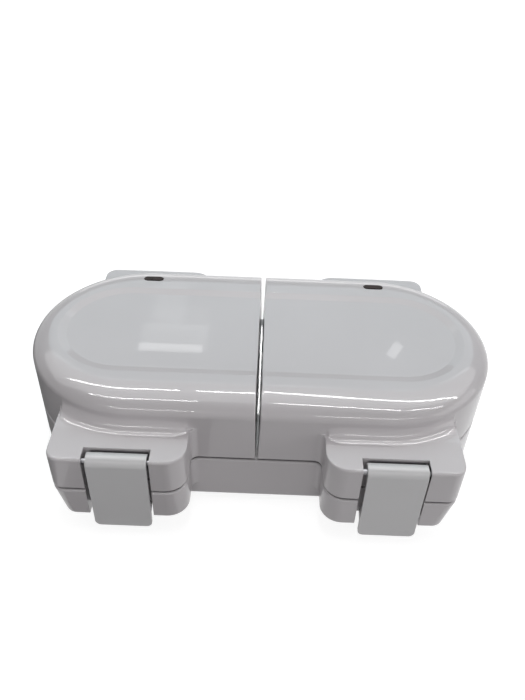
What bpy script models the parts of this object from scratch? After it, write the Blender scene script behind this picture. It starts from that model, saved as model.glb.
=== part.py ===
"""Double sandwich maker with two separate lids, modelled closed.

Metres, +Z up, +Y to the back. The origin is on the floor, in the middle of the whole outline.
The right half is designed first, and the left half is the same at mirrored x. Each lid turns on
a pin across its rear boss, and each lid carries a latch clip that hangs in front of the base.
"""

import math

import bmesh
import bpy
from mathutils import Matrix, Vector

for old in list(bpy.data.objects):
    bpy.data.objects.remove(old, do_unlink=True)

# Overall plan: a bar with round ends.
HALF_LENGTH = 0.185
HALF_WIDTH = 0.090

# Heights.
FOOT_HEIGHT = 0.005
PARTING_Z = 0.0476
PARTING_GAP = 0.001
LID_TOP = 0.103
HANDLE_BOTTOM = 0.020

# Walls and clearances.
WALL = 0.003
TOUCH = 0.0003  # between pieces that touch
PIN_PLAY = 0.0003
OVERRUN = 0.002  # how far every cutter passes the surface that it cuts
MERGE = 0.00003

# Lid: a low wall, then a roll up to a flat top.
ROLL_HEIGHT = 0.0125
ROLL_WIDTH = 0.0275
ROLL_END_WIDTH = 0.020
SEAM_EDGE = 0.0008
GAP_LOW = 0.00075  # half of the gap between the lids, at the parting line
GAP_HIGH = 0.0021
GAP_CORNER = 0.001

# Recess across both lids.
RECESS_SIDE = 0.035  # from the side of the body
RECESS_END = 0.020  # from the end of the body
RECESS_DEPTH = 0.0016
RECESS_SLOPE = 0.0115

# Handles at the front and hinge bosses at the back share one plan.
HANDLE_FROM_END = 0.036
HANDLE_WIDTH = 0.0992
HANDLE_OUT = 0.0347
BOSS_OUT = 0.026
HANDLE_INNER_R = 0.016
HANDLE_OUTER_R = 0.0095
HANDLE_EDGE_R = 0.002
HANDLE_FILLET = 0.010  # where the top of a handle meets the wall
HANDLE_BAND = 0.0001  # plain wall between that fillet and the roll
SIDE_FILLET = 0.006
BASE_LEAN = 0.0065  # the outer side of a base handle leans in by this much at the bottom
BASE_EDGE_R = 0.004
BASE_RIM_R = 0.001

# Notch in the middle of each handle, with the latch clip in it.
NOTCH_WIDTH = 0.048
NOTCH_DEPTH = 0.0125
CLIP_WIDTH = 0.043
CLIP_PROUD = 0.0017
CLIP_BEND_R = 0.0065
CLIP_THICK = 0.0027
CLIP_BOTTOM_Z = 0.0095
CLIP_CORNER_R = 0.0045
CLIP_RISE = 0.0007  # how far the bend stands above the handle
CATCH_HEIGHT = 0.0055
CATCH_TOP_Z = 0.0295
CATCH_REACH = 0.0062
KEEPER_HEIGHT = 0.008
KEEPER_WIDTH = 0.0215
LATCH_PIN_R = 0.002

# Hinge.
HINGE_IN = 0.010  # from the back of the boss to the pin
HINGE_RISE = 0.0034  # from the parting line to the pin
KNUCKLE_R = 0.0075
KNUCKLE_PLAY = 0.0005
BASE_KNUCKLE_WIDTH = 0.014
BASE_KNUCKLE_INSET = 0.006
HINGE_PIN_R = 0.0025
LID_SLOT_RISE = 0.0135  # the lid's boss starts this far above the pin, to clear the base when open
WEB_FRONT = 0.0085
WEB_INSET = 0.001

# Cooking plates.
PLATE_INSET = 0.010
PLATE_LEDGE = 0.003
PLATE_RIM = 0.003
PLATE_DROP = 0.0005  # the plate lies this far under the rim of its shell
PLATE_DEPTH = 0.016
PLATE_CORNER_R = 0.012
POCKET_SIDE_EDGE = 0.021  # from the edge of the plate to its pockets
POCKET_INNER_EDGE = 0.01325
POCKET_ROOM = 0.0054  # between the block under the pockets and the end of its well
POCKET_WALL = 0.003
POCKET_FLOOR = 0.003
POCKET_CORNER_R = 0.017
POCKET_TIP_R = 0.005
POCKET_DRAFT = 0.004
DIVIDER = 0.009
LEDGE_THICK = 0.0032

# Heaters, trays and electrics.
ELEMENT_R = 0.0032
ELEMENT_INSET_X = 0.010  # from the edge of the pockets
ELEMENT_INSET_Y = 0.013
ELEMENT_BEND_R = 0.014
ELEMENT_END_R = 0.0055
ELEMENT_END_SPACE = 0.026
ELEMENT_END_GAP = 0.004
TRAY_SHEET = 0.0012
TRAY_PLAY = 0.0006
TRAY_HOLE_PLAY = 0.0018
POST_R = 0.005
POST_SPREAD = 0.020
SCREW_R = 0.0017
SCREW_HEAD_R = 0.004
SCREW_HEAD = 0.0021
SCREW_SHARE = 0.6  # how much of its post a screw fills
THERMOSTAT_R = 0.008
THERMOSTAT_GAP = 0.004
THERMOSTAT_FORWARD = 0.020
TERMINAL_SIZE = (0.026, 0.014, 0.012)
TERMINAL_FROM_BACK = 0.032
FUSE_R = 0.0022
FUSE_LENGTH = 0.022
FUSE_FROM_BACK = 0.056

# Feet.
FOOT_R = 0.009
FOOT_TOP_R = 0.010
FOOT_STEM_R = 0.003
FOOT_STEM = 0.0025
FOOT_BEYOND = 0.030  # beyond the centre of the round end
FOOT_FROM_SIDE = 0.042

# Cord outlet in the back of the base.
GLAND_NECK_R = 0.008
GLAND_FLANGE_R = 0.011
GLAND_FLANGE = 0.0025
GLAND_BOOT = 0.018
GLAND_BOOT_R0 = 0.0075
GLAND_BOOT_R1 = 0.0055
GLAND_BORE_R = 0.0036

# Indicator window in the back of each lid's top.
WINDOW_BEYOND = 0.0025  # beyond the centre of the round end
WINDOW_FROM_BACK = 0.0205
WINDOW_LENGTH = 0.017
WINDOW_WIDTH = 0.007
WINDOW_THICK = 0.0045
WINDOW_PROUD = 0.0004
WINDOW_TILT_DEG = 7.5
LAMP_R = 0.003
LAMP_LENGTH = 0.009

# Facets.
ARC_STEPS = 4
SMALL_STEPS = 2
END_STEPS = 6
ROUND_STEPS = 16
HOLE_STEPS = 12
SMOOTH_DEG = 40
EDGE_DEGREES = (0, 45, 90)
FILLET_DEGREES = (0, 35, 65, 90)
ROLL_SHARES = (0.2, 0.4, 0.6, 0.82, 1.0)
HOLLOW_ROLL_SHARES = (0.0, 0.5, 1.0)
RECESS_SHARES = ((0.0, 0.0), (0.1, 0.03), (0.25, 0.2), (0.75, 0.8), (0.9, 0.97), (1.0, 1.0))

ROUND_X = HALF_LENGTH - HALF_WIDTH  # centre of each round end
PLATEAU_R = HALF_WIDTH - ROLL_WIDTH
PLATEAU_ROUND_X = HALF_LENGTH - ROLL_END_WIDTH - PLATEAU_R
RECESS_R = HALF_WIDTH - RECESS_SIDE
RECESS_ROUND_X = HALF_LENGTH - RECESS_END - RECESS_R
HANDLE_REACH = HALF_WIDTH + HANDLE_OUT
BOSS_REACH = HALF_WIDTH + BOSS_OUT
HANDLE_X1 = HALF_LENGTH - HANDLE_FROM_END
HANDLE_X0 = HANDLE_X1 - HANDLE_WIDTH
HANDLE_TOP = LID_TOP - ROLL_HEIGHT - HANDLE_BAND - HANDLE_FILLET
FRONT_REACH = HANDLE_REACH + CLIP_PROUD
CENTRE_Y = (FRONT_REACH - BOSS_REACH) / 2  # puts the middle of the whole outline over the origin
BASE_TOP = PARTING_Z - PARTING_GAP / 2
LID_BOTTOM = PARTING_Z + PARTING_GAP / 2
FLOOR_TOP = FOOT_HEIGHT + WALL
PANEL_Z = LID_TOP - RECESS_DEPTH
ROOF_UNDER = PANEL_Z - WALL - TOUCH
NOTCH_X = (HANDLE_X0 + HANDLE_X1) / 2
NOTCH_BACK = HANDLE_REACH - NOTCH_DEPTH
PIVOT_Y = CLIP_BEND_R - FRONT_REACH
PIVOT_Z = HANDLE_TOP + CLIP_RISE - CLIP_BEND_R
HINGE_Y = BOSS_REACH - HINGE_IN
HINGE_Z = PARTING_Z + HINGE_RISE
PLATE_FACE = BASE_TOP - PLATE_DROP
LEDGE_Z = PLATE_FACE - PLATE_RIM - TOUCH
DECK_UNDER = LEDGE_Z - LEDGE_THICK
GLAND_Z = (FLOOR_TOP + DECK_UNDER) / 2
BLOCK_Z = PLATE_FACE - PLATE_DEPTH
ELEMENT_Z = BLOCK_Z - TOUCH - ELEMENT_R
TRAY_Z = ELEMENT_Z - ELEMENT_R - TOUCH - TRAY_SHEET

# The pockets: their outer corners keep clear of the round end of the well.
POCKET_Y = HALF_WIDTH - PLATE_INSET - POCKET_SIDE_EDGE
POCKET_X0 = GAP_LOW + PLATE_INSET + POCKET_INNER_EDGE
WELL_R = HALF_WIDTH - PLATE_INSET - PLATE_LEDGE
CORNER_SPOKE = WELL_R - POCKET_ROOM - POCKET_WALL - POCKET_CORNER_R
CORNER_RUN = math.sqrt(CORNER_SPOKE**2 - (POCKET_Y - POCKET_CORNER_R) ** 2)
POCKET_X1 = ROUND_X + CORNER_RUN + POCKET_CORNER_R
POCKET_X = (POCKET_X0 + POCKET_X1) / 2
POST_XS = (POCKET_X - POST_SPREAD, POCKET_X + POST_SPREAD)
ELEMENT_END_XS = (POCKET_X - ELEMENT_END_SPACE / 2, POCKET_X + ELEMENT_END_SPACE / 2)
ELEMENT_Y = POCKET_Y - ELEMENT_INSET_Y

parts = bpy.data.collections.new("double_sandwich_maker")
cutters = bpy.data.collections.new("cutters")
bpy.context.scene.collection.children.link(parts)
bpy.context.scene.collection.children.link(cutters)


def material(name, colour, roughness, metallic=0.0):
    made = bpy.data.materials.new(name)
    made.use_nodes = True
    shader = made.node_tree.nodes["Principled BSDF"]
    shader.inputs["Base Color"].default_value = (*colour, 1.0)
    shader.inputs["Roughness"].default_value = roughness
    shader.inputs["Metallic"].default_value = metallic
    made.diffuse_color = (*colour, 1.0)
    return made


SHELL = material("pale_grey_plastic", (0.50, 0.48, 0.50), 0.25)
CLIP = material("satin_grey_plastic", (0.42, 0.41, 0.42), 0.42)
COATED = material("black_non_stick_coating", (0.025, 0.025, 0.027), 0.38)
SHEET = material("bright_sheet_steel", (0.62, 0.62, 0.62), 0.32, 1.0)
HEATER = material("heater_sheath_steel", (0.30, 0.29, 0.28), 0.45, 1.0)
STEEL = material("plated_steel", (0.66, 0.66, 0.67), 0.28, 1.0)
RUBBER = material("black_rubber", (0.035, 0.035, 0.037), 0.75)
GLAND = material("grey_flexible_plastic", (0.28, 0.27, 0.28), 0.6)
BAKELITE = material("dark_moulded_plastic", (0.05, 0.045, 0.04), 0.5)
CREAM = material("white_terminal_plastic", (0.72, 0.71, 0.68), 0.45)
LENS = material("dark_lens_plastic", (0.045, 0.018, 0.012), 0.12)
LAMP = material("lamp_glass", (0.75, 0.55, 0.45), 0.1)


def empty(name, place, parent=None):
    made = bpy.data.objects.new(name, None)
    parts.objects.link(made)
    made.parent = parent
    made.location = Vector(place)
    return made


body = empty("body_frame", (0, CENTRE_Y, 0))


def place_of(frame):
    """Where a frame lies in the body's own coordinates."""
    return frame.location + place_of(frame.parent) if frame.parent else Vector()


def keep(name, mesh, parent, look=None, origin=(0, 0, 0)):
    """Links a mesh that is written in the body's own coordinates, with its origin at a chosen point."""
    made = bpy.data.objects.new(name, mesh)
    (parts if look else cutters).objects.link(made)
    shift = Vector(origin)
    mesh.transform(Matrix.Translation(-shift))
    made.parent = parent
    made.location = shift - place_of(parent)
    if look:
        mesh.materials.append(look)
        mesh.shade_smooth()
        mesh.set_sharp_from_angle(angle=math.radians(SMOOTH_DEG))
    else:
        made.hide_render = True
        made.display_type = "WIRE"
    return made


def mesh_of(bm, name):
    mesh = bpy.data.meshes.new(name)
    bm.to_mesh(mesh)
    bm.free()
    return mesh


def loft(name, rings):
    """A closed skin through rings of the same number of points, capped at both ends."""
    bm = bmesh.new()
    rows = [[bm.verts.new(point) for point in ring] for ring in rings]
    for low, high in zip(rows, rows[1:]):
        count = len(low)
        for i in range(count):
            j = (i + 1) % count
            bm.faces.new((low[i], low[j], high[j], high[i]))
    bm.faces.new(rows[0][::-1])
    bm.faces.new(rows[-1])
    bmesh.ops.recalc_face_normals(bm, faces=bm.faces)
    bmesh.ops.triangulate(bm, faces=bm.faces)
    return mesh_of(bm, name)


def prism(name, outline, low, high, turn=None):
    """A flat outline in x and y, drawn up from one height to another."""
    bm = bmesh.new()
    face = bm.faces.new([bm.verts.new((x, y, low)) for x, y in outline])
    drawn = bmesh.ops.extrude_face_region(bm, geom=[face])["geom"]
    moved = [v for v in drawn if isinstance(v, bmesh.types.BMVert)]
    bmesh.ops.translate(bm, verts=moved, vec=(0, 0, high - low))
    if turn:
        bmesh.ops.transform(bm, matrix=turn, verts=bm.verts)
    bmesh.ops.recalc_face_normals(bm, faces=bm.faces)
    return mesh_of(bm, name)


def block(name, low, high):
    """A box between two corners."""
    low, high = Vector(low), Vector(high)
    bm = bmesh.new()
    bmesh.ops.create_cube(bm, size=1)
    bmesh.ops.scale(bm, vec=high - low, verts=bm.verts)
    bmesh.ops.translate(bm, vec=(low + high) / 2, verts=bm.verts)
    return mesh_of(bm, name)


def rod(name, radius, start, end):
    """A cylinder between two points, with fewer facets when it is thin."""
    steps = HOLE_STEPS if radius < KNUCKLE_R else ROUND_STEPS
    start, end = Vector(start), Vector(end)
    way = end - start
    bm = bmesh.new()
    bmesh.ops.create_cone(
        bm, cap_ends=True, segments=steps, radius1=radius, radius2=radius, depth=way.length
    )
    spin = way.to_track_quat("Z", "Y").to_matrix().to_4x4()
    bmesh.ops.transform(bm, matrix=Matrix.Translation((start + end) / 2) @ spin, verts=bm.verts)
    return mesh_of(bm, name)


def turned(name, profile, parent, look, origin, closed=False, steps=HOLE_STEPS):
    """A profile of (radius, height) points, run down its outer side and turned about its own z."""
    bm = bmesh.new()
    points = [bm.verts.new((r, 0, z)) for r, z in profile]
    pairs = list(zip(points, points[1:]))
    if closed:
        pairs.append((points[-1], points[0]))
    for a, b in pairs:
        bm.edges.new((a, b))
    mesh = mesh_of(bm, name)
    mesh.materials.append(look)
    made = bpy.data.objects.new(name, mesh)
    parts.objects.link(made)
    made.parent = parent
    made.location = Vector(origin) - place_of(parent)
    screw = made.modifiers.new("turn", "SCREW")
    screw.steps = screw.render_steps = steps
    screw.use_merge_vertices = True
    screw.merge_threshold = MERGE
    screw.use_smooth_shade = True
    return made


def boolean(target, tool, operation="DIFFERENCE"):
    change = target.modifiers.new(operation.lower(), "BOOLEAN")
    change.operation = operation
    change.solver = "EXACT"
    change.object = tool


def arc(cx, cy, radius, start, end, steps):
    """Points on an arc, its angles in degrees."""
    angles = [math.radians(start + (end - start) * i / steps) for i in range(steps + 1)]
    return [(cx + radius * math.cos(a), cy + radius * math.sin(a)) for a in angles]


def rounded(corners, radii, steps=ARC_STEPS):
    """A polygon with each corner rounded by its own radius, run the way its corners run."""
    outline = []
    count = len(corners)
    for i, corner in enumerate(corners):
        here = Vector(corner)
        before = (Vector(corners[i - 1]) - here).normalized()
        after = (Vector(corners[(i + 1) % count]) - here).normalized()
        half = before.angle(after) / 2
        cut = radii[i] / math.tan(half)
        middle = here + (before + after).normalized() * (radii[i] / math.sin(half))
        first, last = here + before * cut - middle, here + after * cut - middle
        swing = first.angle_signed(last)
        for step in range(steps + 1):
            spoke = first.copy()
            spoke.rotate(Matrix.Rotation(-swing * step / steps, 2))
            outline.append(tuple(middle + spoke))
    return outline


def on_wall(share, round_x, radius):
    """A point on the plain wall: 0 to 1 runs along its straight, and 1 to 2 round its end."""
    if share <= 1:
        return round_x * share, radius
    angle = math.radians(90 * (2 - share))
    return round_x + radius * math.cos(angle), radius * math.sin(angle)


def handle_plan(reach, outer_x, inset):
    """Plan of one handle at +y, from the wall round the handle and back to the round end.

    Each entry pairs a point on the handle with the share of the plain wall that lies behind it.
    """
    wall = HALF_WIDTH - inset
    reach, x0, x1 = reach - inset, HANDLE_X0 + inset, outer_x - inset
    inner_r, outer_r, fillet = HANDLE_INNER_R - inset, HANDLE_OUTER_R - inset, SIDE_FILLET + inset
    inner = arc(x0 - fillet, wall + fillet, fillet, -90, 0, SMALL_STEPS)
    inner += arc(x0 + inner_r, reach - inner_r, inner_r, 180, 90, ARC_STEPS)
    outer = arc(x1 - outer_r, reach - outer_r, outer_r, 90, 0, ARC_STEPS)
    foot_x = x1 + fillet
    foot_y = math.sqrt((wall + fillet) ** 2 - (foot_x - ROUND_X) ** 2)
    lean = math.degrees(math.atan2(foot_y, foot_x - ROUND_X))
    outer += arc(foot_x, foot_y, fillet, 180, 180 + lean, SMALL_STEPS)
    start, turn = (x0 - fillet) / ROUND_X, (x0 + inner_r) / ROUND_X
    back = 1 + math.degrees(math.asin((x1 - outer_r - ROUND_X) / wall)) / 90
    end = 1 + (90 - lean) / 90
    plan = [(p, start + (turn - start) * i / (len(inner) - 1)) for i, p in enumerate(inner)]
    for i in range(SMALL_STEPS + 1):
        share = 1 + (back - 1) * i / (SMALL_STEPS + 1)
        plan.append(((on_wall(share, ROUND_X, wall)[0], reach), share))
    plan += [(p, back + (end - back) * i / (len(outer) - 1)) for i, p in enumerate(outer)]
    return plan


def quarter(front, height, round_x, radius, reach, weight, outer_x, inset):
    """Points from beside x = 0 round a handle to near the end, at the front (y < 0) or the back."""
    side = -1 if front else 1
    points = []
    for (hx, hy), share in handle_plan(reach, outer_x, inset):
        wx, wy = on_wall(share, round_x, radius)
        points.append((wx + (hx - wx) * weight, side * (wy + (hy - wy) * weight), height))
    return points, share


def half_ring(
    z, round_x, radius, front=0.0, back=0.0, gap=None, corner=0.0, outer_x=HANDLE_X1, inset=0.0
):
    """The right half of a level's outline, from the front middle round the end to the back middle."""
    fore, last = quarter(True, z, round_x, radius, HANDLE_REACH, front, outer_x, inset)
    aft, _ = quarter(False, z, round_x, radius, BOSS_REACH, back, outer_x, inset)
    ring = []
    edge = 0 if gap is None else gap
    if gap is not None:
        ring.append((edge, -(radius - corner), z))
    ring.append((edge + corner, -radius, z))
    ring += fore
    for i in range(1, END_STEPS * 2):
        share = last + (2 - last) * i / END_STEPS
        x, y = on_wall(share, round_x, radius) if share <= 2 else on_wall(4 - share, round_x, radius)
        ring.append((x, -y if share <= 2 else y, z))
    ring += aft[::-1]
    ring.append((edge + corner, radius, z))
    if gap is not None:
        ring.append((edge, radius - corner, z))
    return ring


def gap_at(z):
    share = (z - LID_BOTTOM) / (LID_TOP - LID_BOTTOM)
    return GAP_LOW + (GAP_HIGH - GAP_LOW) * share


def fillet_levels(reach):
    """Heights and weights over the top of a handle: its edge, its flat and its sweep up the wall."""
    length = reach - HALF_WIDTH
    levels = [(HANDLE_TOP - HANDLE_EDGE_R, 1.0)]
    for degrees in EDGE_DEGREES[1:]:
        a = math.radians(degrees)
        rise, back = HANDLE_EDGE_R * math.sin(a), HANDLE_EDGE_R * (1 - math.cos(a))
        levels.append((HANDLE_TOP - HANDLE_EDGE_R + rise, 1 - back / length))
    for degrees in FILLET_DEGREES:
        a = math.radians(degrees)
        out, rise = HANDLE_FILLET * (1 - math.sin(a)), HANDLE_FILLET * (1 - math.cos(a))
        levels.append((HANDLE_TOP + rise, out / length))
    return levels


def lid_skin(name):
    low = {"gap": gap_at(LID_BOTTOM), "corner": GAP_CORNER}
    edge = HALF_WIDTH - SEAM_EDGE
    rings = [half_ring(LID_BOTTOM, ROUND_X, edge, 1, 1, inset=SEAM_EDGE, **low)]
    rings.append(half_ring(LID_BOTTOM + SEAM_EDGE, ROUND_X, HALF_WIDTH, 1, 1, **low))
    for (z, front), (_, back) in zip(fillet_levels(HANDLE_REACH), fillet_levels(BOSS_REACH)):
        side = {"gap": gap_at(z), "corner": GAP_CORNER}
        rings.append(half_ring(z, ROUND_X, HALF_WIDTH, front, back, **side))
    for share in ROLL_SHARES:
        a = math.radians(90 * share)
        z = LID_TOP - ROLL_HEIGHT + ROLL_HEIGHT * math.sin(a)
        radius = HALF_WIDTH - ROLL_WIDTH * (1 - math.cos(a))
        round_x = ROUND_X + (PLATEAU_ROUND_X - ROUND_X) * (1 - math.cos(a))
        edge = GAP_CORNER * max(0.0, 1 - (LID_TOP - z) / GAP_CORNER) ** 2
        rings.append(half_ring(z, round_x, radius, gap=gap_at(z) + edge, corner=GAP_CORNER))
    return loft(name, rings)


def lid_hollow(name):
    """The space inside a lid, over the ledge that its plate sits on."""
    start = 2 * PARTING_Z - DECK_UNDER
    side = {"gap": gap_at(LID_TOP) + WALL, "corner": GAP_CORNER, "inset": WALL}
    radius = HALF_WIDTH - WALL
    top = HANDLE_TOP - WALL
    rings = [half_ring(start, ROUND_X, radius, 1, 0, **side)]
    rings.append(half_ring(top, ROUND_X, radius, 1, 0, **side))
    rings.append(half_ring(top + OVERRUN, ROUND_X, radius, 0, 0, **side))
    rise = ROLL_HEIGHT - WALL
    for share in HOLLOW_ROLL_SHARES:
        a = math.radians(90 * share)
        z = ROOF_UNDER - rise + rise * math.sin(a)
        spread = 1 - math.cos(a)
        round_x = ROUND_X + (PLATEAU_ROUND_X - ROUND_X) * spread
        rings.append(half_ring(z, round_x, radius - ROLL_WIDTH * spread, **side))
    return loft(name, rings)


def full_ring(*args, **kwargs):
    ring = half_ring(*args, **kwargs)
    return ring[1:-1] + [(-x, y, z) for x, y, z in ring[1:-1][::-1]]


def lean_at(z):
    return HANDLE_X1 - BASE_LEAN * (BASE_TOP - z) / (BASE_TOP - HANDLE_BOTTOM)


def base_skin(name):
    rings = []
    for degrees in EDGE_DEGREES[::-1]:
        a = math.radians(degrees)
        z = FOOT_HEIGHT + BASE_EDGE_R * (1 - math.sin(a))
        radius = HALF_WIDTH - BASE_EDGE_R * (1 - math.cos(a))
        rings.append(full_ring(z, ROUND_X, radius, outer_x=lean_at(HANDLE_BOTTOM)))
    low = lean_at(HANDLE_BOTTOM)
    rings.append(full_ring(HANDLE_BOTTOM, ROUND_X, HALF_WIDTH, outer_x=low))
    for degrees in EDGE_DEGREES:
        a = math.radians(degrees)
        z = HANDLE_BOTTOM + HANDLE_EDGE_R * (1 - math.cos(a))
        back = HANDLE_EDGE_R * (1 - math.sin(a))
        weights = [1 - back / (reach - HALF_WIDTH) for reach in (HANDLE_REACH, BOSS_REACH)]
        rings.append(full_ring(z, ROUND_X, HALF_WIDTH, *weights, outer_x=lean_at(z)))
    for degrees in EDGE_DEGREES:
        a = math.radians(degrees)
        z = BASE_TOP - BASE_RIM_R * (1 - math.sin(a))
        back = BASE_RIM_R * (1 - math.cos(a))
        rings.append(full_ring(z, ROUND_X, HALF_WIDTH - back, 1, 1, outer_x=lean_at(z), inset=back))
    return loft(name, rings)


def base_hollow(name):
    radius = HALF_WIDTH - WALL
    start = HANDLE_BOTTOM + WALL
    side = {"inset": WALL}
    rings = [full_ring(FLOOR_TOP, ROUND_X, radius, outer_x=lean_at(start), **side)]
    rings.append(full_ring(start - OVERRUN, ROUND_X, radius, outer_x=lean_at(start), **side))
    rings.append(full_ring(start, ROUND_X, radius, 1, 1, outer_x=lean_at(start), **side))
    rings.append(full_ring(DECK_UNDER, ROUND_X, radius, 1, 1, outer_x=lean_at(DECK_UNDER), **side))
    return loft(name, rings)


def plate_plan(inset):
    """The plan of a plate or of its seat: straight towards the middle, round at the end."""
    radius, x0 = HALF_WIDTH - inset, GAP_LOW + inset
    corner = PLATE_CORNER_R + PLATE_INSET - inset
    outline = arc(x0 + corner, corner - radius, corner, 180, 270, SMALL_STEPS)
    outline += arc(ROUND_X, 0, radius, -90, 90, END_STEPS * 2)
    outline += arc(x0 + corner, radius - corner, corner, 90, 180, SMALL_STEPS)
    return outline


def pocket_plans(draft):
    """The two triangles that one diagonal makes of the pocket, drawn in by the draft."""
    wide, deep = (POCKET_X1 - POCKET_X0) / 2, POCKET_Y
    x, y = wide - draft, deep - draft
    off = (DIVIDER / 2 + draft) * math.hypot(wide, deep)
    corners = [((off - y * wide) / deep, -y), (x, -y), (x, (x * deep - off) / wide)]
    tip = POCKET_TIP_R - draft / 2
    low = rounded(corners, (tip, POCKET_CORNER_R - draft, tip))
    return [[(POCKET_X + side * x, side * y) for x, y in low] for side in (1, -1)]


def element_path(end_z):
    """Corners of a heater: up from its terminal, round under both pockets and down again."""
    y, x0, x1 = ELEMENT_Y, POCKET_X0 + ELEMENT_INSET_X, POCKET_X1 - ELEMENT_INSET_X
    low_x, high_x = ELEMENT_END_XS
    flat = [(low_x, y), (x0, y), (x0, -y), (x1, -y), (x1, y), (high_x, y)]
    corners = [(low_x, y, end_z)] + [(*p, ELEMENT_Z) for p in flat] + [(high_x, y, end_z)]
    bends = [ELEMENT_END_R] + [ELEMENT_BEND_R] * 4 + [ELEMENT_END_R]
    points = [Vector(corners[0])]
    for i, radius in enumerate(bends, 1):
        here = Vector(corners[i])
        before = (Vector(corners[i - 1]) - here).normalized()
        after = (Vector(corners[i + 1]) - here).normalized()
        middle = here + (before + after) * radius
        for step in range(ARC_STEPS):
            a = math.radians(90 * step / (ARC_STEPS - 1))
            points.append(middle - after * radius * math.cos(a) - before * radius * math.sin(a))
    points.append(Vector(corners[-1]))
    return points


def tube(name, points, radius, parent, look, side, over):
    """A round tube along points, for the left or right half, and for the lid when over."""
    curve = bpy.data.curves.new(name, "CURVE")
    curve.dimensions = "3D"
    curve.bevel_depth = radius
    curve.bevel_resolution = 1
    curve.use_fill_caps = True
    run = curve.splines.new("POLY")
    run.points.add(len(points) - 1)
    for target, (x, y, z) in zip(run.points, points):
        high = 2 * PARTING_Z - z if over else z
        target.co = (*(Vector((side * x, y, high)) - place_of(parent)), 1)
    curve.materials.append(look)
    made = bpy.data.objects.new(name, curve)
    parts.objects.link(made)
    made.parent = parent
    return made


def placed(mesh, side, over=False):
    """A mesh written for the base's right half, moved to the left half or up into a lid."""
    if over:
        flip = Matrix.Translation((0, 0, 2 * PARTING_Z)) @ Matrix.Scale(-1, 4, (0, 0, 1))
        mesh.transform(flip)
        mesh.flip_normals()
    if side < 0:
        mesh.transform(Matrix.Scale(-1, 4, (1, 0, 0)))
        mesh.flip_normals()
    return mesh


def notch_guard():
    """The walls round a notch, which stay when the shell is made hollow."""
    low = (NOTCH_X - NOTCH_WIDTH / 2 - WALL, -HANDLE_REACH - OVERRUN, 0)
    high = (NOTCH_X + NOTCH_WIDTH / 2 + WALL, WALL - NOTCH_BACK, LID_TOP)
    return block("guard", low, high)


def notch_room():
    low = (NOTCH_X - NOTCH_WIDTH / 2, -FRONT_REACH - OVERRUN, 0)
    high = (NOTCH_X + NOTCH_WIDTH / 2, -NOTCH_BACK, LID_TOP)
    return block("notch", low, high)


def plate_seat():
    return prism("seat", plate_plan(PLATE_INSET - TOUCH), LEDGE_Z, BASE_TOP + OVERRUN)


def plate_well():
    plan = plate_plan(PLATE_INSET + PLATE_LEDGE)
    return prism("well", plan, DECK_UNDER - OVERRUN, LEDGE_Z + OVERRUN)


def recess_bowl():
    """A shallow bowl with an S-shaped side, over the right lid and past the middle."""
    rings = []
    for run, depth in ((0.0, 0.0), *RECESS_SHARES):
        z = LID_TOP - RECESS_DEPTH * depth if rings else LID_TOP + OVERRUN
        radius = RECESS_R - RECESS_SLOPE * run
        far = arc(RECESS_ROUND_X, 0, radius, -90, 90, END_STEPS * 2)
        ring = [(-OVERRUN, -radius), *far, (-OVERRUN, radius)]
        rings.append([(x, y, z) for x, y in ring])
    return loft("recess", rings)


def screw_profile(under, tip):
    """A screw with its head below, as (radius, height) points down its outer side."""
    low = under - SCREW_HEAD
    profile = [(0, tip), (SCREW_R, tip), (SCREW_R, under)]
    return profile + [(SCREW_HEAD_R, under), (SCREW_HEAD_R, low), (0, low)]


def clip_body(side):
    """A strap bent over its pin at the top, with a catch on its back and round lower corners."""
    face, rear = -CLIP_BEND_R, CLIP_THICK - CLIP_BEND_R
    low, catch = CLIP_BOTTOM_Z - PIVOT_Z, CATCH_TOP_Z - PIVOT_Z
    nose = rear + CATCH_REACH
    section = [(face, low), (rear, low), (rear, catch - CATCH_HEIGHT)]
    section += [(nose, catch - CATCH_HEIGHT / 2), (nose, catch), (rear, catch)]
    lean = math.degrees(math.acos(-rear / CLIP_BEND_R))
    section += arc(0, 0, CLIP_BEND_R, lean - 180, 180, ROUND_STEPS)
    bm = bmesh.new()
    flat = bm.faces.new([bm.verts.new((-CLIP_WIDTH / 2, y, z)) for y, z in section])
    drawn = bmesh.ops.extrude_face_region(bm, geom=[flat])["geom"]
    moved = [v for v in drawn if isinstance(v, bmesh.types.BMVert)]
    bmesh.ops.translate(bm, verts=moved, vec=(CLIP_WIDTH, 0, 0))
    corners = [e for e in bm.edges if all(abs(v.co.z - low) < TOUCH for v in e.verts)]
    corners = [e for e in corners if abs(e.verts[0].co.x - e.verts[1].co.x) < TOUCH]
    bmesh.ops.bevel(
        bm, geom=corners, offset=CLIP_CORNER_R, segments=ARC_STEPS, profile=0.5, affect="EDGES"
    )
    bmesh.ops.recalc_face_normals(bm, faces=bm.faces)
    bmesh.ops.translate(bm, verts=bm.verts, vec=(side * NOTCH_X, PIVOT_Y, PIVOT_Z))
    return mesh_of(bm, "clip")


def pill(length, width):
    """A slot's outline: two half circles joined by straight sides."""
    reach = (length - width) / 2
    outline = arc(reach, 0, width / 2, -90, 90, ARC_STEPS)
    return outline + arc(-reach, 0, width / 2, 90, 270, ARC_STEPS)


# Base shell.
base_shell = keep("base_shell", base_skin("base_shell"), body, SHELL)
hollow = keep("base_hollow", base_hollow("base_hollow"), body)
boolean(base_shell, hollow)
knuckle_x0 = HANDLE_X0 + BASE_KNUCKLE_INSET
knuckle_x3 = HANDLE_X1 - BASE_KNUCKLE_INSET
knuckle_x1 = knuckle_x0 + BASE_KNUCKLE_WIDTH
knuckle_x2 = knuckle_x3 - BASE_KNUCKLE_WIDTH
hinge_bore = [(x, HINGE_Y, HINGE_Z) for x in (knuckle_x0 - OVERRUN, knuckle_x3 + OVERRUN)]
tray_top = 2 * PARTING_Z - TRAY_Z  # of the upper tray

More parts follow.
